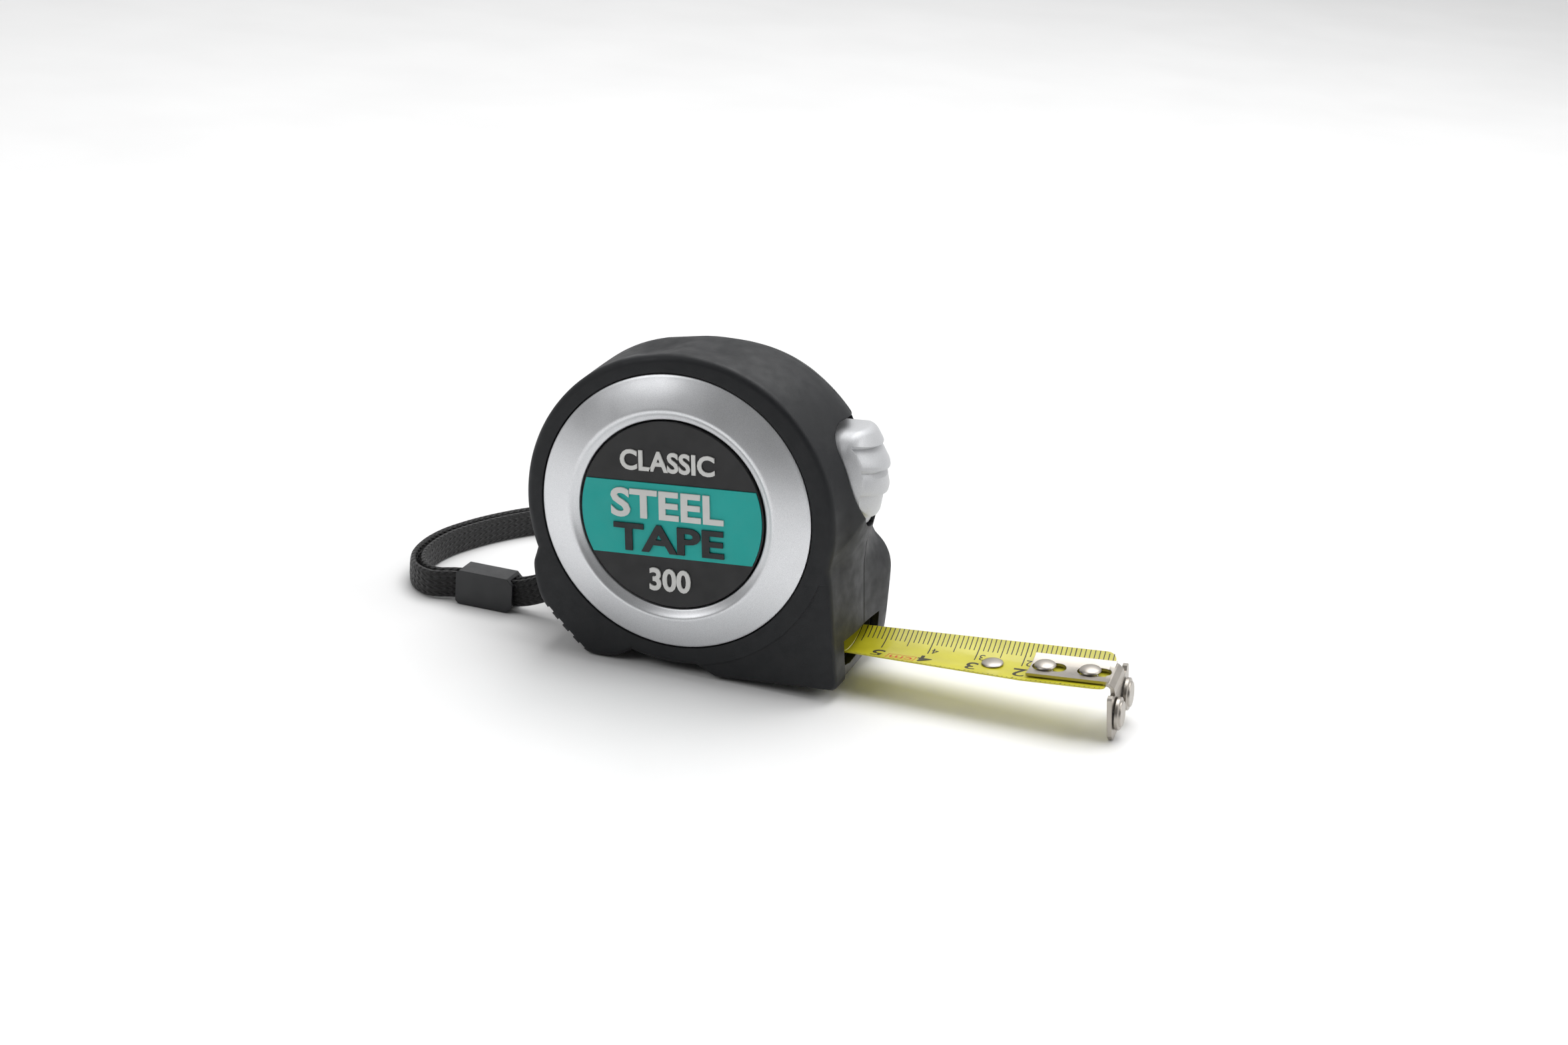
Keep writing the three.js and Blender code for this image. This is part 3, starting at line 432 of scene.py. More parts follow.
def make_strap():
    """Flat webbing on edge along the loop, with a faint ripple where the weave crosses."""
    line = centripetal(strap_points(), STRAP_STEPS)
    sides = STRAP_SIDES
    verts, faces, lay = [], [], []
    run = 0.0
    for i, p in enumerate(line):
        if i:
            run += (p - line[i - 1]).length * 1000
        along = (line[min(i + 1, len(line) - 1)] - line[max(i - 1, 0)]).normalized()
        out = Vector((along.y, -along.x, 0)).normalized()
        up = out.cross(along).normalized()
        if up.z < 0:
            up = -up
        for k in range(sides):
            a = 2 * math.pi * (k + 0.5) / sides
            c, s = math.cos(a), math.sin(a)
            u = math.copysign(abs(c) ** 0.55, c) * STRAP_THICK / 2
            v = math.copysign(abs(s) ** 0.75, s) * STRAP_WIDTH / 2
            ripple = 1 + 0.05 * math.sin(run * 2 * math.pi / RIPPLE_MM + (v > 0) * math.pi)
            verts.append(p + out * (u * ripple / 1000) + up * (v / 1000))
            lay.append((run, v + (0.4 if u > 0 else 0.0), 0.0))
    for i in range(len(line) - 1):
        for k in range(sides):
            a, b = i * sides + k, i * sides + (k + 1) % sides
            faces.append((a, b, b + sides, a + sides))
    faces.append(tuple(range(sides)))
    faces.append(tuple((len(line) - 1) * sides + k for k in reversed(range(sides))))
    obj = mesh_object("strap_webbing", verts, faces, Matrix.Identity(4))
    attribute = obj.data.attributes.new("lay", "FLOAT_VECTOR", "POINT")
    attribute.data.foreach_set("vector", [c for v in lay for c in v])
    smooth(obj, 60)
    dress(obj, WEBBING, "case", ["wrist_strap"])


make_strap()

# ---------------------------------------------------------------- case skin

HALF_WIDTH, RUBBER_THICK, SHELL_FACE = 15.4, 2.0, 13.4
HEEL_Z, TOE_Z = -33.6, -35.5
BEZEL_OUTER = 29.2
FAR_SCALE = 0.84
PARTING_Y, SEAM_GAP = 1.5, 0.15
EDGE_ROUND = 1.6
LEVEL_STEP = 1.5
# Radii of the round back and of the belly: at the faces and at the middle of the width.
BACK_R, BELLY_R = (33.2, 33.4), (33.4, 34.5)
# The front edge from the toe up to the front arc, as (x, z).
FRONT_EDGE_BADGE_SIDE = [
    (33.3, TOE_Z), (34.2, -34.9), (34.3, -33.4), (33.9, -30.5),
    (33.5, -18.0), (33.4, -15.2), (33.2, -12.4), (32.8, -9.6),
]
FRONT_EDGE_MID = [
    (33.4, TOE_Z), (34.7, -34.9), (35.2, -33.4), (35.1, -30.5),
    (35.1, -18.0), (35.1, -15.2), (35.2, -12.4), (35.9, -8.0),
]
FRONT_EDGE_CLIP_SIDE = [
    (33.4, TOE_Z), (34.7, -34.9), (35.2, -33.4), (36.0, -30.5),
    (37.3, -18.0), (37.2, -15.2), (36.4, -12.8), (34.6, -10.6),
]
HEEL_EDGE = [
    (-31.9, -12.4), (-32.6, -14.4), (-32.2, -18.6), (-31.0, -22.8), (-26.4, -28.2),
    (-21.6, -33.0), (-19.6, HEEL_Z), (-14.9, HEEL_Z), (-12.4, -32.5),
]


def rounded_line(points, first, last, steps=4):
    """The same line with its corners from first to last turned into short curves."""
    out = list(points[:first])
    for i in range(first, last + 1):
        (xa, za), (xb, zb), (xc, zc) = points[i - 1], points[i], points[i + 1]
        a = (mix(xa, xb, 0.6), mix(za, zb, 0.6))
        c = (mix(xc, xb, 0.6), mix(zc, zb, 0.6))
        for k in range(steps + 1):
            t = k / steps
            out.append(tuple(mix(mix(a[j], (xb, zb)[j], t), mix((xb, zb)[j], c[j], t), t) for j in (0, 1)))
    return [*out, *points[last + 1:]]


def taper_at(y, x, z):
    """How far the rim has fallen in on the clip side: over the top of the case, not at its heel and toe."""
    def ease(value, low, high):
        t = min(1.0, max(0.0, (value - low) / (high - low)))
        return t * t * (3 - 2 * t)

    return max(0.0, y - 0.5) * 0.42 * ease(z + 0.25 * x, -9, 9) * (1 - 0.55 * ease(x, -4, 24))


def case_outline(crown, inset, y=0.0, fine=4):
    """Side outline of the case at y. crown runs from 0 at the faces to 1 at the middle of the width."""
    back = mix(*BACK_R, crown)
    belly = mix(*BELLY_R, crown)
    front = arc(mix(1.0, 4.6, crown), mix(0, -1.2, crown), mix(33.3, 34.9, crown), mix(-12, 6, crown), 97,
                20 * fine)
    side = FRONT_EDGE_BADGE_SIDE if y < 0 else FRONT_EDGE_CLIP_SIDE
    edge = [(mix(a[0], b[0], crown), mix(a[1], b[1], crown)) for a, b in zip(side, FRONT_EDGE_MID)]
    heel = list(HEEL_EDGE)
    if fine > 1:
        edge = rounded_line(edge, 1, 6)
        heel = rounded_line(heel, 1, 7)
    points = [*edge, *front, *arc(0, 0, back, 101, 199, 18 * fine), *heel,
              *arc(0, 0, belly, 251, 276, 5 * fine), (7.9, TOE_Z), (20, TOE_Z)]
    out = []
    for x, z in points:
        r = math.hypot(x, z)
        scale = (r - inset - taper_at(y, x, z) - grip_dip(x, z, y)) / r
        out.append((x * scale, z * scale))
    return out


# (angle, spread, y, spread, depth) of each dip, in degrees and millimetres.
GRIP_DIPS = [
    (101.0, 8.0, -7.5, 4.5, 1.2), (78.0, 6.5, -6.5, 4.0, 1.1),
    (101.0, 8.0, 7.5, 4.5, 0.9), (78.0, 6.5, 6.5, 4.0, 0.8),
]


def grip_dip(x, z, y):
    """Depth at this point of the shallow finger dips pressed into the top of the rim."""
    if z < 20:
        return 0.0
    angle = math.degrees(math.atan2(z, x))
    return sum(depth * math.exp(-((angle - a) / turn) ** 2 - ((y - y0) / wide) ** 2)
               for a, turn, y0, wide, depth in GRIP_DIPS)


def crown_at(y):
    return math.cos(min(abs(y), SHELL_FACE) / SHELL_FACE * math.pi / 2) ** 1.2


def case_body(name, face, inset, rounding=0.0, fine=4):
    """Solid case from face to face, drawn in by inset all round."""
    ends = [(-face, inset)]
    if rounding:
        turns = [math.radians(15 * i) for i in range(7)]
        ends = [(-face + rounding * (1 - math.cos(t)), inset + rounding * (1 - math.sin(t))) for t in turns]
    inner = [LEVEL_STEP * k for k in range(-8, 9) if abs(LEVEL_STEP * k) < face - 1.7]
    levels = [*ends, *[(y, inset) for y in inner], *[(-y, i) for y, i in reversed(ends)]]
    rings = [[(x, y, z) for x, z in case_outline(crown_at(y), drawn, y, fine)] for y, drawn in levels]
    return loft(name, rings)


# The blade is dished: level at its two edges and BLADE_SAG lower along its middle.
BLADE_HALF, BLADE_EDGE_Z, BLADE_SAG, BLADE_THICK = 8.0, -29.1, 1.8, 0.3
BLADE_CENTRE_Z = BLADE_EDGE_Z - BLADE_SAG
TWIST, TWIST_FROM, TWIST_TO, TWIST_STEPS = 6.5, 35.0, 71.0, 12
RETRACT = 52.6


def twist_at(x):
    """Roll of the drawn-out blade at x, in radians."""
    return math.radians(TWIST) * min(1.0, max(0.0, (x - TWIST_FROM) / (TWIST_TO - TWIST_FROM)))


def rolled(y, z, turn):
    """A point of the level blade, rolled about the blade's edge on the clip side."""
    across, up = y - BLADE_HALF, z - BLADE_EDGE_Z
    return (BLADE_HALF + across * math.cos(turn) - up * math.sin(turn),
            BLADE_EDGE_Z + across * math.sin(turn) + up * math.cos(turn))


def dish(y):
    """Height of the level blade's upper side at y."""
    return BLADE_CENTRE_Z + BLADE_SAG * (y / BLADE_HALF) ** 2


def on_blade(x, y, lift=0.0):
    """A point above the blade's surface, in the case frame."""
    yy, zz = rolled(y, dish(y) + lift, twist_at(x))
    return (x, yy, zz)


def blade_section(turn, steps=8):
    """Closed outline across the blade, rolled by turn."""
    ys = [mix(-BLADE_HALF, BLADE_HALF, i / steps) for i in range(steps + 1)]
    level = [*[(y, dish(y) - BLADE_THICK) for y in ys], *[(y, dish(y)) for y in reversed(ys)]]
    return [rolled(y, z, turn) for y, z in level]


def channel_section(turn, clear=0.35):
    """Clearance for the blade as it slides back, from level to rolled by turn."""
    level, low = blade_section(0.0), blade_section(turn)
    half = len(level) // 2
    reach = 1 + clear / BLADE_HALF
    return [(y * reach, low[i][1] - clear if i < half else z + clear) for i, (y, z) in enumerate(level)]


def loft_x(name, stations, section):
    """Closed body along X through section(x) at each station."""
    return loft(name, [[(x, y, z) for y, z in section(x)] for x in stations])


BUTTON_HALF, BUTTON_CORNER, BUTTON_BACK = 8.8, 5.5, 29.8
BUTTON_BOTTOM, BUTTON_WAIST, BUTTON_TOP = -3.4, 9.0, 17.2
BUTTON_WINDOW_TOP = 19.2


def button_outline(grow, top, fine=1):
    """Front view of the button as (y, z) points: rounded top corners and a narrow round foot."""
    half = BUTTON_HALF + grow
    depth = BUTTON_WAIST - BUTTON_BOTTOM + grow
    foot = [(y * half, BUTTON_WAIST + z * depth) for y, z in arc(0, 0, 1, 180, 360, 16 * fine)]
    corners = [*arc(half - BUTTON_CORNER, top - BUTTON_CORNER, BUTTON_CORNER, 0, 90, 5 * fine),
               *arc(-half + BUTTON_CORNER, top - BUTTON_CORNER, BUTTON_CORNER, 90, 180, 5 * fine)]
    return [*foot, *corners]


def tilted_block(name, size, centre, angle):
    """A block turned about Y by angle degrees, in the case frame."""
    a = math.radians(angle)
    sx, sy, sz = (s / 2 for s in size)
    verts = []
    for dx in (-sx, sx):
        for dy in (-sy, sy):
            for dz in (-sz, sz):
                verts.append((centre[0] + dx * math.cos(a) + dz * math.sin(a), centre[1] + dy,
                              centre[2] - dx * math.sin(a) + dz * math.cos(a)))
    faces = [(0, 1, 3, 2), (4, 6, 7, 5), (0, 4, 5, 1), (2, 3, 7, 6), (0, 2, 6, 4), (1, 5, 7, 3)]
    return mesh_object(name, verts, faces)


SLOT_HALF, SLOT_TOP, THROAT_FLOOR = 9.6, -26.3, -33.2
CHANNEL_X = (-21.5, -17.5, 0, 18.5, 33)
STRAP_PIN = (-23.9, -19.7)
STRAP_HOLE_TILT, STRAP_HOLE_SIZE, STRAP_HOLE_REACH = -28, (19, 5.2, 7.2), 10.9


def openings():
    """Cutters for the mouth, the blade's way back, the button and the strap hole."""
    mouth = block("c", 31.5, 44, -SLOT_HALF, SLOT_HALF, -44, SLOT_TOP)
    throat = block("c", 17, 32, -SLOT_HALF, SLOT_HALF, THROAT_FLOOR, -28.5)
    throat_top = block("c", 26, 32, -SLOT_HALF, SLOT_HALF, -29, SLOT_TOP)
    channel = loft_x("c", CHANNEL_X, lambda x: channel_section(twist_at(x + RETRACT)))
    rivet_groove = block("c", 6, 33, -3.8, 3.4, THROAT_FLOOR, BLADE_CENTRE_Z)
    window = prism_x("c", button_outline(0.4, BUTTON_WINDOW_TOP, 3), 24, 46)
    flange_room = block("c", 24, 31.7, -8.9, 7.2, -1.8, 6.3)
    a = math.radians(STRAP_HOLE_TILT)
    centre = (STRAP_PIN[0] - STRAP_HOLE_REACH * math.cos(a), 0, STRAP_PIN[1] + STRAP_HOLE_REACH * math.sin(a))
    strap_hole = tilted_block("c", STRAP_HOLE_SIZE, centre, STRAP_HOLE_TILT)
    return [mouth, throat, throat_top, channel, rivet_groove, window, flange_room, strap_hole]


HEEL_SLOPE = ((-30.9, -22.9), (-21.9, -32.7))
HEEL_GROOVES, GROOVE_SIZE = 4, (1.5, 50, 1.9)


def heel_grooves():
    """Cutters for the notches across the heel's slope, which leave its teeth."""
    start, end = (Vector(p) for p in HEEL_SLOPE)
    along = end - start
    angle = -math.degrees(math.atan2(along.y, along.x))
    cutters = []
    for i in range(HEEL_GROOVES):
        x, z = (start[k] + along[k] * (i + 0.75) / HEEL_GROOVES for k in (0, 1))
        cutters.append(tilted_block("c", GROOVE_SIZE, (x, 0, z), angle))
    return cutters


def toe_step():
    """Thin shaving off the toe's near face, outside the round of the case."""
    toe = block("c", 3.0, 40.0, -16.0, -HALF_WIDTH + 0.35, -40.0, -12.5)
    return combine(toe, [turned("c", [(0, -17), (33.0, -17), (33.35, -14.5), (0, -14.5)], steps=160)])


def overmould(side):
    """Rubber skin of one half of the case: side is -1 for the badge side and 1 for the clip side."""
    skin = case_body("overmould_skin_left" if side < 0 else "overmould_skin_right", HALF_WIDTH, 0, EDGE_ROUND)
    cut = PARTING_Y - SEAM_GAP if side < 0 else PARTING_Y + SEAM_GAP
    keep = block("c", -60, 60, -30, cut, -60, 60) if side < 0 else block("c", -60, 60, cut, 30, -60, 60)
    combine(skin, [keep], "INTERSECT")
    hole = BEZEL_OUTER * (1 if side < 0 else FAR_SCALE) + 0.3
    cutters = [case_body("c", SHELL_FACE + SEAM_GAP, RUBBER_THICK, 0, 1),
               turned("c", [(0, side * 10), (hole, side * 10), (hole, side * 20), (0, side * 20)], steps=160),
               block("c", -21.5, 33, -8.4, 8.4, -30.1, -26), block("c", -21.5, 33, -4.6, 4.6, -31.1, -26),
               *openings(), *heel_grooves()]
    if side < 0:
        cutters.append(toe_step())
    combine(skin, cutters)
    smooth(skin, 30)
    return dress(skin, RUBBER, "case", ["left_overmould" if side < 0 else "right_overmould"])


overmould(-1)
overmould(1)

# ---------------------------------------------------------------- bezel rings and badges


def bezel(side):
    """Silver ring on one face: a cone that rises inwards, a rounded crest and a short slope to the badge."""
    profile = [(29.2, 13.7), (29.2, 15.3), (29.0, 15.5)]
    for i in range(13):
        t = i / 12
        profile.append((mix(28.7, 22.7, t), mix(15.62, 18.12, t) + 0.12 * math.sin(math.pi * t)))
    profile += [(22.4, 18.2), (22.1, 18.18), (21.8, 18.05)]
    for i in range(1, 7):
        t = i / 6
        profile.append((mix(21.8, 20.35, t), mix(18.05, 17.2, t ** 0.8)))
    profile += [(20.3, 17.1), (20.3, 13.7)]
    scale = 1 if side < 0 else FAR_SCALE
    name = "bezel_ring_left" if side < 0 else "bezel_ring_right"
    obj = turned(name, [(r * scale, side * y) for r, y in profile], steps=180)
    smooth(obj, 40)
    return dress(obj, SILVER, "case", ["left_bezel_ring" if side < 0 else "right_bezel_ring"])


BAND = (-9.08, 6.63)
BADGE_R = 19.9
BADGE_BACK, BADGE_FACE, BAND_FACE = 13.7, 17.35, 17.6
RAISED_BY = 0.35


def badge(side):
    name = "badge_disc_left" if side < 0 else "badge_disc_right"
    radius = BADGE_R * (1 if side < 0 else FAR_SCALE)
    profile = [(0, BADGE_BACK), (radius, BADGE_BACK), (radius, BADGE_FACE - 0.2),
               (radius - 0.2, BADGE_FACE), (0, BADGE_FACE)]
    disc = turned(name, [(r, side * y) for r, y in profile], steps=120)
    smooth(disc, 40)
    return dress(disc, BADGE, "case", ["left_badge" if side < 0 else "right_badge"])


def band_outline(radius, z0, z1, steps=18):
    """The part of a circle between two heights."""
    a0, a1 = math.asin(z0 / radius), math.asin(z1 / radius)
    angles = [mix(a0, a1, i / steps) for i in range(steps + 1)]
    right = [(radius * math.cos(a), radius * math.sin(a)) for a in angles]
    return [*right, *[(-x, z) for x, z in reversed(right)]]


def badge_band():
    band = prism_y("badge_band", band_outline(BADGE_R - 0.35, *BAND), -BAND_FACE, -BADGE_FACE - 0.02)
    return dress(band, TEAL, "case")


def text_mesh(name, words, bold):
    """Solid lettering of any size as one mesh, with the two corners of its box."""
    data = bpy.data.curves.new(name, "FONT")
    data.body = words
    data.size = 1.0
    data.offset = bold
    data.extrude = 0.5
    data.resolution_u = 4
    text = link(name, data)
    bpy.context.view_layer.update()
    mesh = bpy.data.meshes.new_from_object(text.evaluated_get(bpy.context.evaluated_depsgraph_get()))
    bpy.data.objects.remove(text)
    bm = bmesh.new()
    bm.from_mesh(mesh)
    bmesh.ops.remove_doubles(bm, verts=bm.verts, dist=1e-5)
    bmesh.ops.recalc_face_normals(bm, faces=bm.faces)
    bm.to_mesh(mesh)
    bm.free()
    lo = [min(v.co[i] for v in mesh.vertices) for i in range(3)]
    hi = [max(v.co[i] for v in mesh.vertices) for i in range(3)]
    return mesh, lo, hi


def raised_text(name, words, height, width, centre, material, bold, face=BAND_FACE):
    """Generic raised lettering on the left badge, sized to a height and width in millimetres."""
    mesh, lo, hi = text_mesh(name, words, bold)
    for v in mesh.vertices:
        u = (v.co.x - (lo[0] + hi[0]) / 2) / (hi[0] - lo[0]) * width
        w = (v.co.y - (lo[1] + hi[1]) / 2) / (hi[1] - lo[1]) * height
        out = (v.co.z - lo[2]) / (hi[2] - lo[2]) * RAISED_BY
        v.co = CASE_MM @ Vector((centre[0] + u, -face - 0.02 - out, centre[1] + w))
    obj = link(name, mesh)
    smooth(obj, 30)
    return dress(obj, material, "case")


for side in (-1, 1):
    bezel(side)
    badge(side)
badge_band()
raised_text("badge_word_top", "CLASSIC", 4.4, 20.5, (-0.6, 11.3), RAISED_LIGHT, face=BADGE_FACE, bold=0.03)
raised_text("badge_word_upper", "STEEL", 6.3, 24.5, (-0.8, 2.1), RAISED_LIGHT, bold=0.028)
raised_text("badge_word_lower", "TAPE", 5.9, 24.0, (-0.6, -5.2), RAISED_DARK, bold=0.028)
raised_text("badge_word_foot", "300", 5.0, 9.0, (-0.6, -14.0), RAISED_LIGHT, face=BADGE_FACE, bold=0.03)

# ---------------------------------------------------------------- thumb button

BUTTON_BULGE_X, BUTTON_BULGE_Z = 41.0, 7.6
BUTTON_GROOVES = (14.6, 9.6, 4.4, -0.5)
BUTTON_ROUNDING, OUTLINE_STEP = 1.2, 0.8
GROOVE_FROM, GROOVE_TO = -7.7, 9.6


def button_front(y, z):
    """Front face of the button: it bulges and falls back towards its foot, top and sides."""
    rise = (z - BUTTON_BULGE_Z) / 10
    return BUTTON_BULGE_X - (3.3 if rise < 0 else 3.8) * rise * rise - 4.4 * (y / BUTTON_HALF) ** 2


def thumb_button():
    """Domed button, lofted inwards from its outline, then grooved and hollowed, with its flange behind."""
    outline = []
    coarse = button_outline(0, BUTTON_TOP, 3)
    for (ya, za), (yb, zb) in zip(coarse, coarse[1:] + coarse[:1]):
        steps = max(1, round(math.hypot(yb - ya, zb - za) / OUTLINE_STEP))
        outline += [(mix(ya, yb, k / steps), mix(za, zb, k / steps)) for k in range(steps)]
    rings = [[(BUTTON_BACK, y, z) for y, z in outline]]
    turns = [math.radians(11.25 * i) for i in range(9)]
    shrink = [(BUTTON_ROUNDING * (1 - math.cos(t)) / BUTTON_HALF, BUTTON_ROUNDING * (1 - math.sin(t)))
              for t in turns]
    shrink += [(f, 0.0) for f in (0.2, 0.28, 0.38, 0.5, 0.62, 0.74, 0.86, 0.97)]
    for f, back in shrink:
        ring = []
        for y, z in outline:
            yy, zz = y * (1 - f), BUTTON_WAIST + (z - BUTTON_WAIST) * (1 - f)
            ring.append((button_front(yy, zz) - back, yy, zz))
        rings.append(ring)
    body = loft("button_body", rings)
    combine(body, [button_groove(z) for z in BUTTON_GROOVES])
    combine(body, [block("c", 31.4, 36.0, -4.2, 4.2, 1.5, 13.5)])
    combine(body, [block("c", 29.8, 31.4, -8.6, 6.9, -1.5, 6.0)], "UNION")
    combine(body, [block("c", 28, 31.8, -2.2, 2.2, 9.5, 13.5)])
    smooth(body, 22)
    return dress(body, BUTTON_SILVER, "button", ["thumb_button"])


def button_groove(top):
    """Cutter for one step of the thumb grip: deep under the step above and running out downwards."""
    rings = []
    for i in range(41):
        y = mix(GROOVE_FROM, GROOVE_TO, i / 40)
        z = top - 1.6 * (1 - (y / BUTTON_HALF) ** 2) + 0.6
        near = min(1.0, (y - GROOVE_FROM) / 0.6)
        face = button_front(y, z)
        deep = mix(0.4, 1.3, near)
        middle, foot = z - 1.5, z - 4.2
        foot_face = button_front(y, foot)
        rings.append([(face + 3.0, y, z + 0.4), (face - deep + 0.1, y, z + 0.1), (face - deep, y, z - 0.35),
                      (button_front(y, middle) - 0.65 * near, y, middle), (foot_face + 0.05, y, foot),
                      (foot_face + 3.0, y, foot)])
    return loft("c", rings)


thumb_button()

# ---------------------------------------------------------------- blade and its scale

BLADE_START, BLADE_END, CORNER_R = 33.0, 87.8, 2.2
REAR_RIVET_X, FRONT_RIVET_X, STOP_RIVET_X = 74.3, 83.7, 63.2
RIVET_HOLE_R, RIVET_HEAD_R = 1.7, 2.3
SCALE_ZERO = 89.13
INK_FOOT, INK_PROUD = 0.003, 0.015


def roll_with_blade(obj, x):
    """Rolls an object drawn on the level blade to the blade's roll at x."""
    pivot = Matrix.Translation((0, BLADE_HALF, BLADE_EDGE_Z))
    turn = CASE_MM @ pivot @ Matrix.Rotation(twist_at(x), 4, "X") @ pivot.inverted() @ CASE_MM.inverted()
    obj.data.transform(turn)
    return obj


def make_blade():
    """Drawn-out strip with rounded corners at the hook and holes for the three rivets."""
    rolling = [mix(TWIST_FROM, TWIST_TO, k / TWIST_STEPS) for k in range(1, TWIST_STEPS + 1)]
    stations = [BLADE_START, TWIST_FROM, *rolling, BLADE_END]
    strip = loft_x("blade_strip", stations, lambda x: blade_section(twist_at(x), 24))
    corner_x, corner_y = BLADE_END - CORNER_R, 5.8
    cutters = []
    for side in (-1, 1):
        turns = [math.radians(t) for t in range(0, 91, 15)]
        curve = [(corner_x + CORNER_R * math.cos(t), corner_y + CORNER_R * math.sin(t)) for t in turns]
        corner = [(BLADE_END + 1, 9.5), (BLADE_END + 1, corner_y), *curve, (corner_x, 9.5)]
        cutter = loft("c", [[(x, side * y, z) for x, y in corner] for z in (-34, -26)])
        cutters.append(roll_with_blade(cutter, BLADE_END))
    for x in (REAR_RIVET_X, FRONT_RIVET_X, STOP_RIVET_X):
        hole = turned("c", [(0, -34), (RIVET_HOLE_R, -34), (RIVET_HOLE_R, -27), (0, -27)], "Z", (x, 0, 0), 32)
        cutters.append(roll_with_blade(hole, x))
    combine(strip, cutters)
    smooth(strip, 40)
    return dress(strip, YELLOW, "tape", ["blade"])


def ink_marks(name, boxes, material):
    """Thin printed marks that follow the dished blade. Each box is (x0, x1, y0, y1) in millimetres."""
    verts, faces = [], []
    for x0, x1, y0, y1 in boxes:
        steps = max(1, int(abs(y1 - y0) / 0.8))
        base = len(verts)
        for i in range(steps + 1):
            y = mix(y0, y1, i / steps)
            for x, lift in ((x0, INK_PROUD), (x1, INK_PROUD), (x1, INK_FOOT), (x0, INK_FOOT)):
                verts.append(on_blade(x, y, lift))
        for i in range(steps):
            a = base + i * 4
            for k in range(4):
                faces.append((a + k, a + (k + 1) % 4, a + 4 + (k + 1) % 4, a + 4 + k))
        faces.append((base, base + 1, base + 2, base + 3))
        end = base + steps * 4
        faces.append((end + 3, end + 2, end + 1, end))
    obj = mesh_object(name, verts, faces)
    return dress(obj, material, "tape")


def scale_boxes():
    """One mark for each millimetre: a long one from the far edge and a short one from the near edge."""
    boxes = []
    for n in range(2, 56):
        x = SCALE_ZERO - n
        wide = 0.1 if n % 10 else 0.12
        far = 7.2 if n % 10 == 0 else (5.2 if n % 5 == 0 else 3.7)
        near = 1.6 if n % 10 == 0 else (1.2 if n % 5 == 0 else 0.8)
        inset_end = 0.5 if x > BLADE_END - CORNER_R else 0.06
        boxes.append((x - wide, x + wide, BLADE_HALF - inset_end - far, BLADE_HALF - inset_end))
        boxes.append((x - wide, x + wide, -BLADE_HALF + inset_end, -BLADE_HALF + inset_end + near))
    return boxes


def digits(name, words, height, x, y, material=INK, bold=0.0):
    """A printed number or word lying on the dished blade, its top towards the near edge."""
    mesh, lo, hi = text_mesh(name, words, bold)
    scale = height / (hi[1] - lo[1])
    for v in mesh.vertices:
        u = x - (v.co.x - (lo[0] + hi[0]) / 2) * scale
        w = y - (v.co.y - (lo[1] + hi[1]) / 2) * scale
        top = (v.co.z - lo[2]) / (hi[2] - lo[2])
        v.co = CASE_MM @ Vector(on_blade(u, w, mix(INK_FOOT, INK_PROUD, top)))
    obj = link(name, mesh)
    return dress(obj, material, "tape")


make_blade()
ink_marks("blade_scale_marks", scale_boxes(), INK)
for n in (2, 3, 4, 5):
    digits(f"blade_number_{n}", str(n), 4.4, SCALE_ZERO - n * 10 + 0.2, -2.6, bold=0.01)
for n in (1, 2, 3, 4):
    digits(f"blade_small_number_{n}", str(n), 2.1, SCALE_ZERO - n * 10 + 1.3, 2.0)
digits("blade_unit", "cm", 2.0, 44.6, -3.6, RED_INK)


def box_lines(x0, x1, y0, y1, wide):
    """The four sides of a printed box."""
    return [(x0, x0 + wide, y0, y1), (x1 - wide, x1, y0, y1),
            (x0, x1, y0, y0 + wide), (x0, x1, y1 - wide, y1)]


ink_marks("blade_unit_box", box_lines(41.6, 47.6, -5.4, -1.8, wide=0.16), RED_INK)

# ---------------------------------------------------------------- hook, rivets, magnets


def copied(node, name, material, body, angle):
    """A frame node redrawn with its own finish and smooth shading."""
    obj = link(name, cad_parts[node].data.copy())
    bm = bmesh.new()
    bm.from_mesh(obj.data)
    bmesh.ops.remove_doubles(bm, verts=bm.verts, dist=1e-6)
    bm.to_mesh(obj.data)
    bm.free()
    if obj.data.has_custom_normals:
        with bpy.context.temp_override(object=obj, active_object=obj, selected_objects=[obj]):
            bpy.ops.mesh.customdata_custom_splitnormals_clear()
    smooth(obj, angle)
    return dress(obj, material, body, [node])


def rivet(name, node, x, z, height):
    """Rivet through the blade at x, with a domed head that starts at z and a flat tail below."""
    under = BLADE_CENTRE_Z - BLADE_THICK - 0.3
    dome = [(RIVET_HEAD_R, z)]
    for i in range(1, 9):
        a = math.radians(90 * i / 8)
        dome.append((RIVET_HEAD_R * math.cos(a) if i < 8 else 0, z + height * math.sin(a)))
    profile = [(0, under - 0.4), (2.0, under - 0.4), (2.0, under), (1.35, under), (1.35, z), *dome]
    obj = roll_with_blade(turned(name, profile, "Z", (x, 0, 0), 48), x)
    smooth(obj, 40)
    return dress(obj, NICKEL, "tape", [node])


rivet("rivet_rear", "hook_rivet_1", REAR_RIVET_X, BLADE_CENTRE_Z + 1.3, 0.8)
rivet("rivet_front", "hook_rivet_2", FRONT_RIVET_X, BLADE_CENTRE_Z + 1.3, 0.8)
rivet("rivet_stop", "stop_rivet", STOP_RIVET_X, BLADE_CENTRE_Z + 0.3, 0.5)
copied("end_hook", "hook_plate", NICKEL, "hook", 25)


MAGNET_Y, MAGNET_Z = 4.3, -36.4


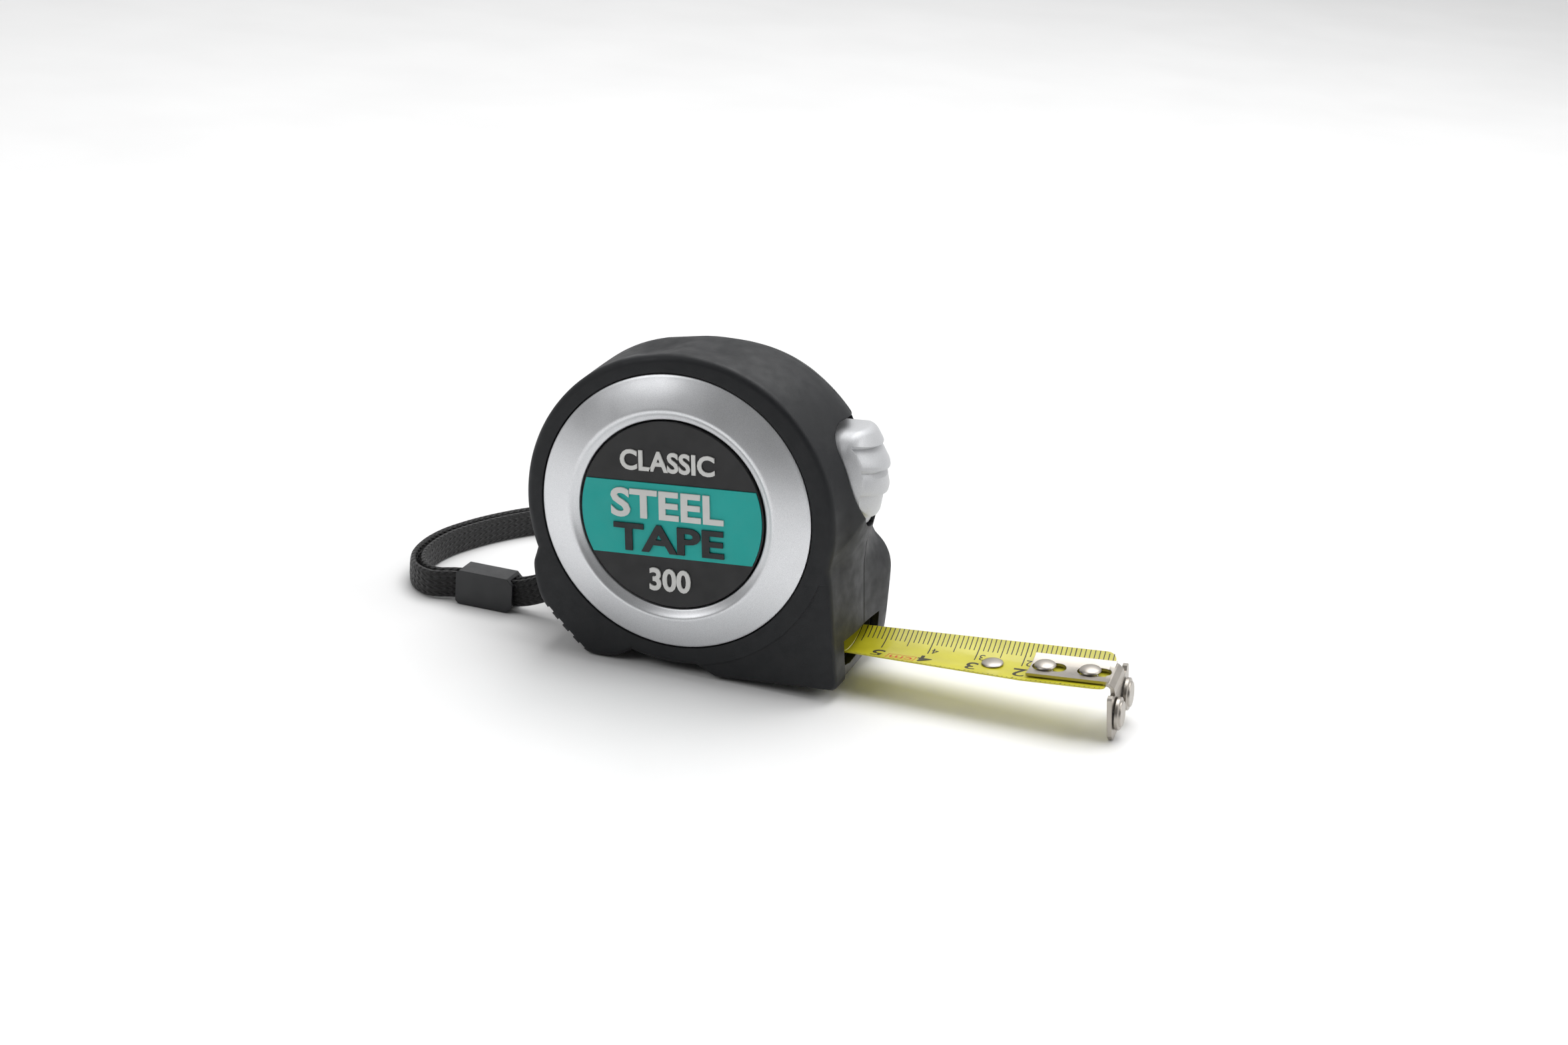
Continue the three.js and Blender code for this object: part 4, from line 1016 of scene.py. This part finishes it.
def magnet(name, node, side):
    """Stepped round magnet on the front of the hook, as (radius, x) turned about X."""
    profile = [(0, 90.2), (3.4, 90.2), (3.4, 90.85), (3.3, 90.95),
               (2.75, 91.0), (2.65, 91.3), (2.55, 91.4), (0, 91.4)]
    obj = roll_with_blade(turned(name, profile, "X", (0, side * MAGNET_Y, MAGNET_Z), 56), BLADE_END)
    smooth(obj, 40)
    return dress(obj, NICKEL, "hook", [node])


magnet("magnet_near", "hook_magnet_left", -1)
magnet("magnet_far", "hook_magnet_right", 1)

# ---------------------------------------------------------------- frame nodes with their own finish

FINISHES = {
    "left_shell": SHELL, "right_shell": SHELL, "mouth_guide": NYLON, "spool_post": STEEL,
    "reel_drum": NYLON, "drum_cover": NYLON, "power_spring": STEEL, "blade_coil": YELLOW,
    "blade_feed": YELLOW, "brake_lever": NYLON, "brake_pad": PAD, "lever_pin": STEEL,
    "lever_spring": STEEL, "case_screw_1": STEEL, "case_screw_2": STEEL, "case_screw_3": STEEL,
    "clip_screw": STEEL, "strap_pin": STEEL, "belt_clip": STEEL, "strap_slider": NYLON,
}
for node, material in FINISHES.items():
    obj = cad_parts[node]
    for slot in obj.material_slots:
        slot.material = material

# ---------------------------------------------------------------- floor, light


FLOOR_HALF = 3.0


def floor():
    """Flat white paper under the object."""
    verts = [(x * FLOOR_HALF, y * FLOOR_HALF, 0.0) for x, y in ((-1, -1), (1, -1), (1, 1), (-1, 1))]
    obj = mesh_object("floor", verts, [(0, 1, 2, 3)], Matrix.Identity(4))
    m = Nodes("floor_paper")
    soft = m.noise(60.0, 3.0)
    m.set(Base_Color=m.blend(m.remap(soft, 0.0, 1.0), rgb(0.90, 0.90, 0.90), rgb(0.93, 0.93, 0.93)))
    m.set(Roughness=m.remap(soft, 0.55, 0.65))
    obj.data.materials.append(m.material)


def area_light(name, at, target, side, power):
    """Square light of the given side in metres and power in watts, aimed at target."""
    data = bpy.data.lights.new(name, "AREA")
    data.shape = "RECTANGLE"
    data.size = side
    data.size_y = side
    data.energy = power
    obj = bpy.data.objects.new(name, data)
    direction = Vector(target) - Vector(at)
    obj.matrix_world = Matrix.Translation(at) @ direction.to_track_quat("-Z", "Y").to_matrix().to_4x4()
    bpy.context.scene.collection.objects.link(obj)


def lighting():
    """White surroundings, dim in front of the object and brighter behind it, and three large lights."""
    world = bpy.data.worlds.new("studio")
    bpy.context.scene.world = world
    world.use_nodes = True
    tree = world.node_tree
    direction = tree.nodes.new("ShaderNodeTexCoord").outputs["Generated"]
    split = tree.nodes.new("ShaderNodeSeparateXYZ")
    tree.links.new(direction, split.inputs[0])
    ramp = tree.nodes.new("ShaderNodeMapRange")
    tree.links.new(split.outputs[1], ramp.inputs["Value"])
    for socket, value in (("From Min", -0.6), ("From Max", 0.6), ("To Min", 0.10), ("To Max", 0.75)):
        ramp.inputs[socket].default_value = value
    tree.links.new(ramp.outputs["Result"], tree.nodes["Background"].inputs["Strength"])
    tree.nodes["Background"].inputs["Color"].default_value = (1.0, 1.0, 1.0, 1.0)
    area_light("top_light", (0.05, 0.35, 1.05), (0, 0, 0.02), 0.9, 9.5)
    area_light("right_light", (0.95, 0.05, 0.7), (0, 0, 0.03), 0.5, 3.0)
    area_light("front_light", (-0.65, -0.7, 0.75), (0, 0, 0.03), 0.6, 2.6)
    bpy.context.scene.view_settings.view_transform = "Standard"


floor()
lighting()
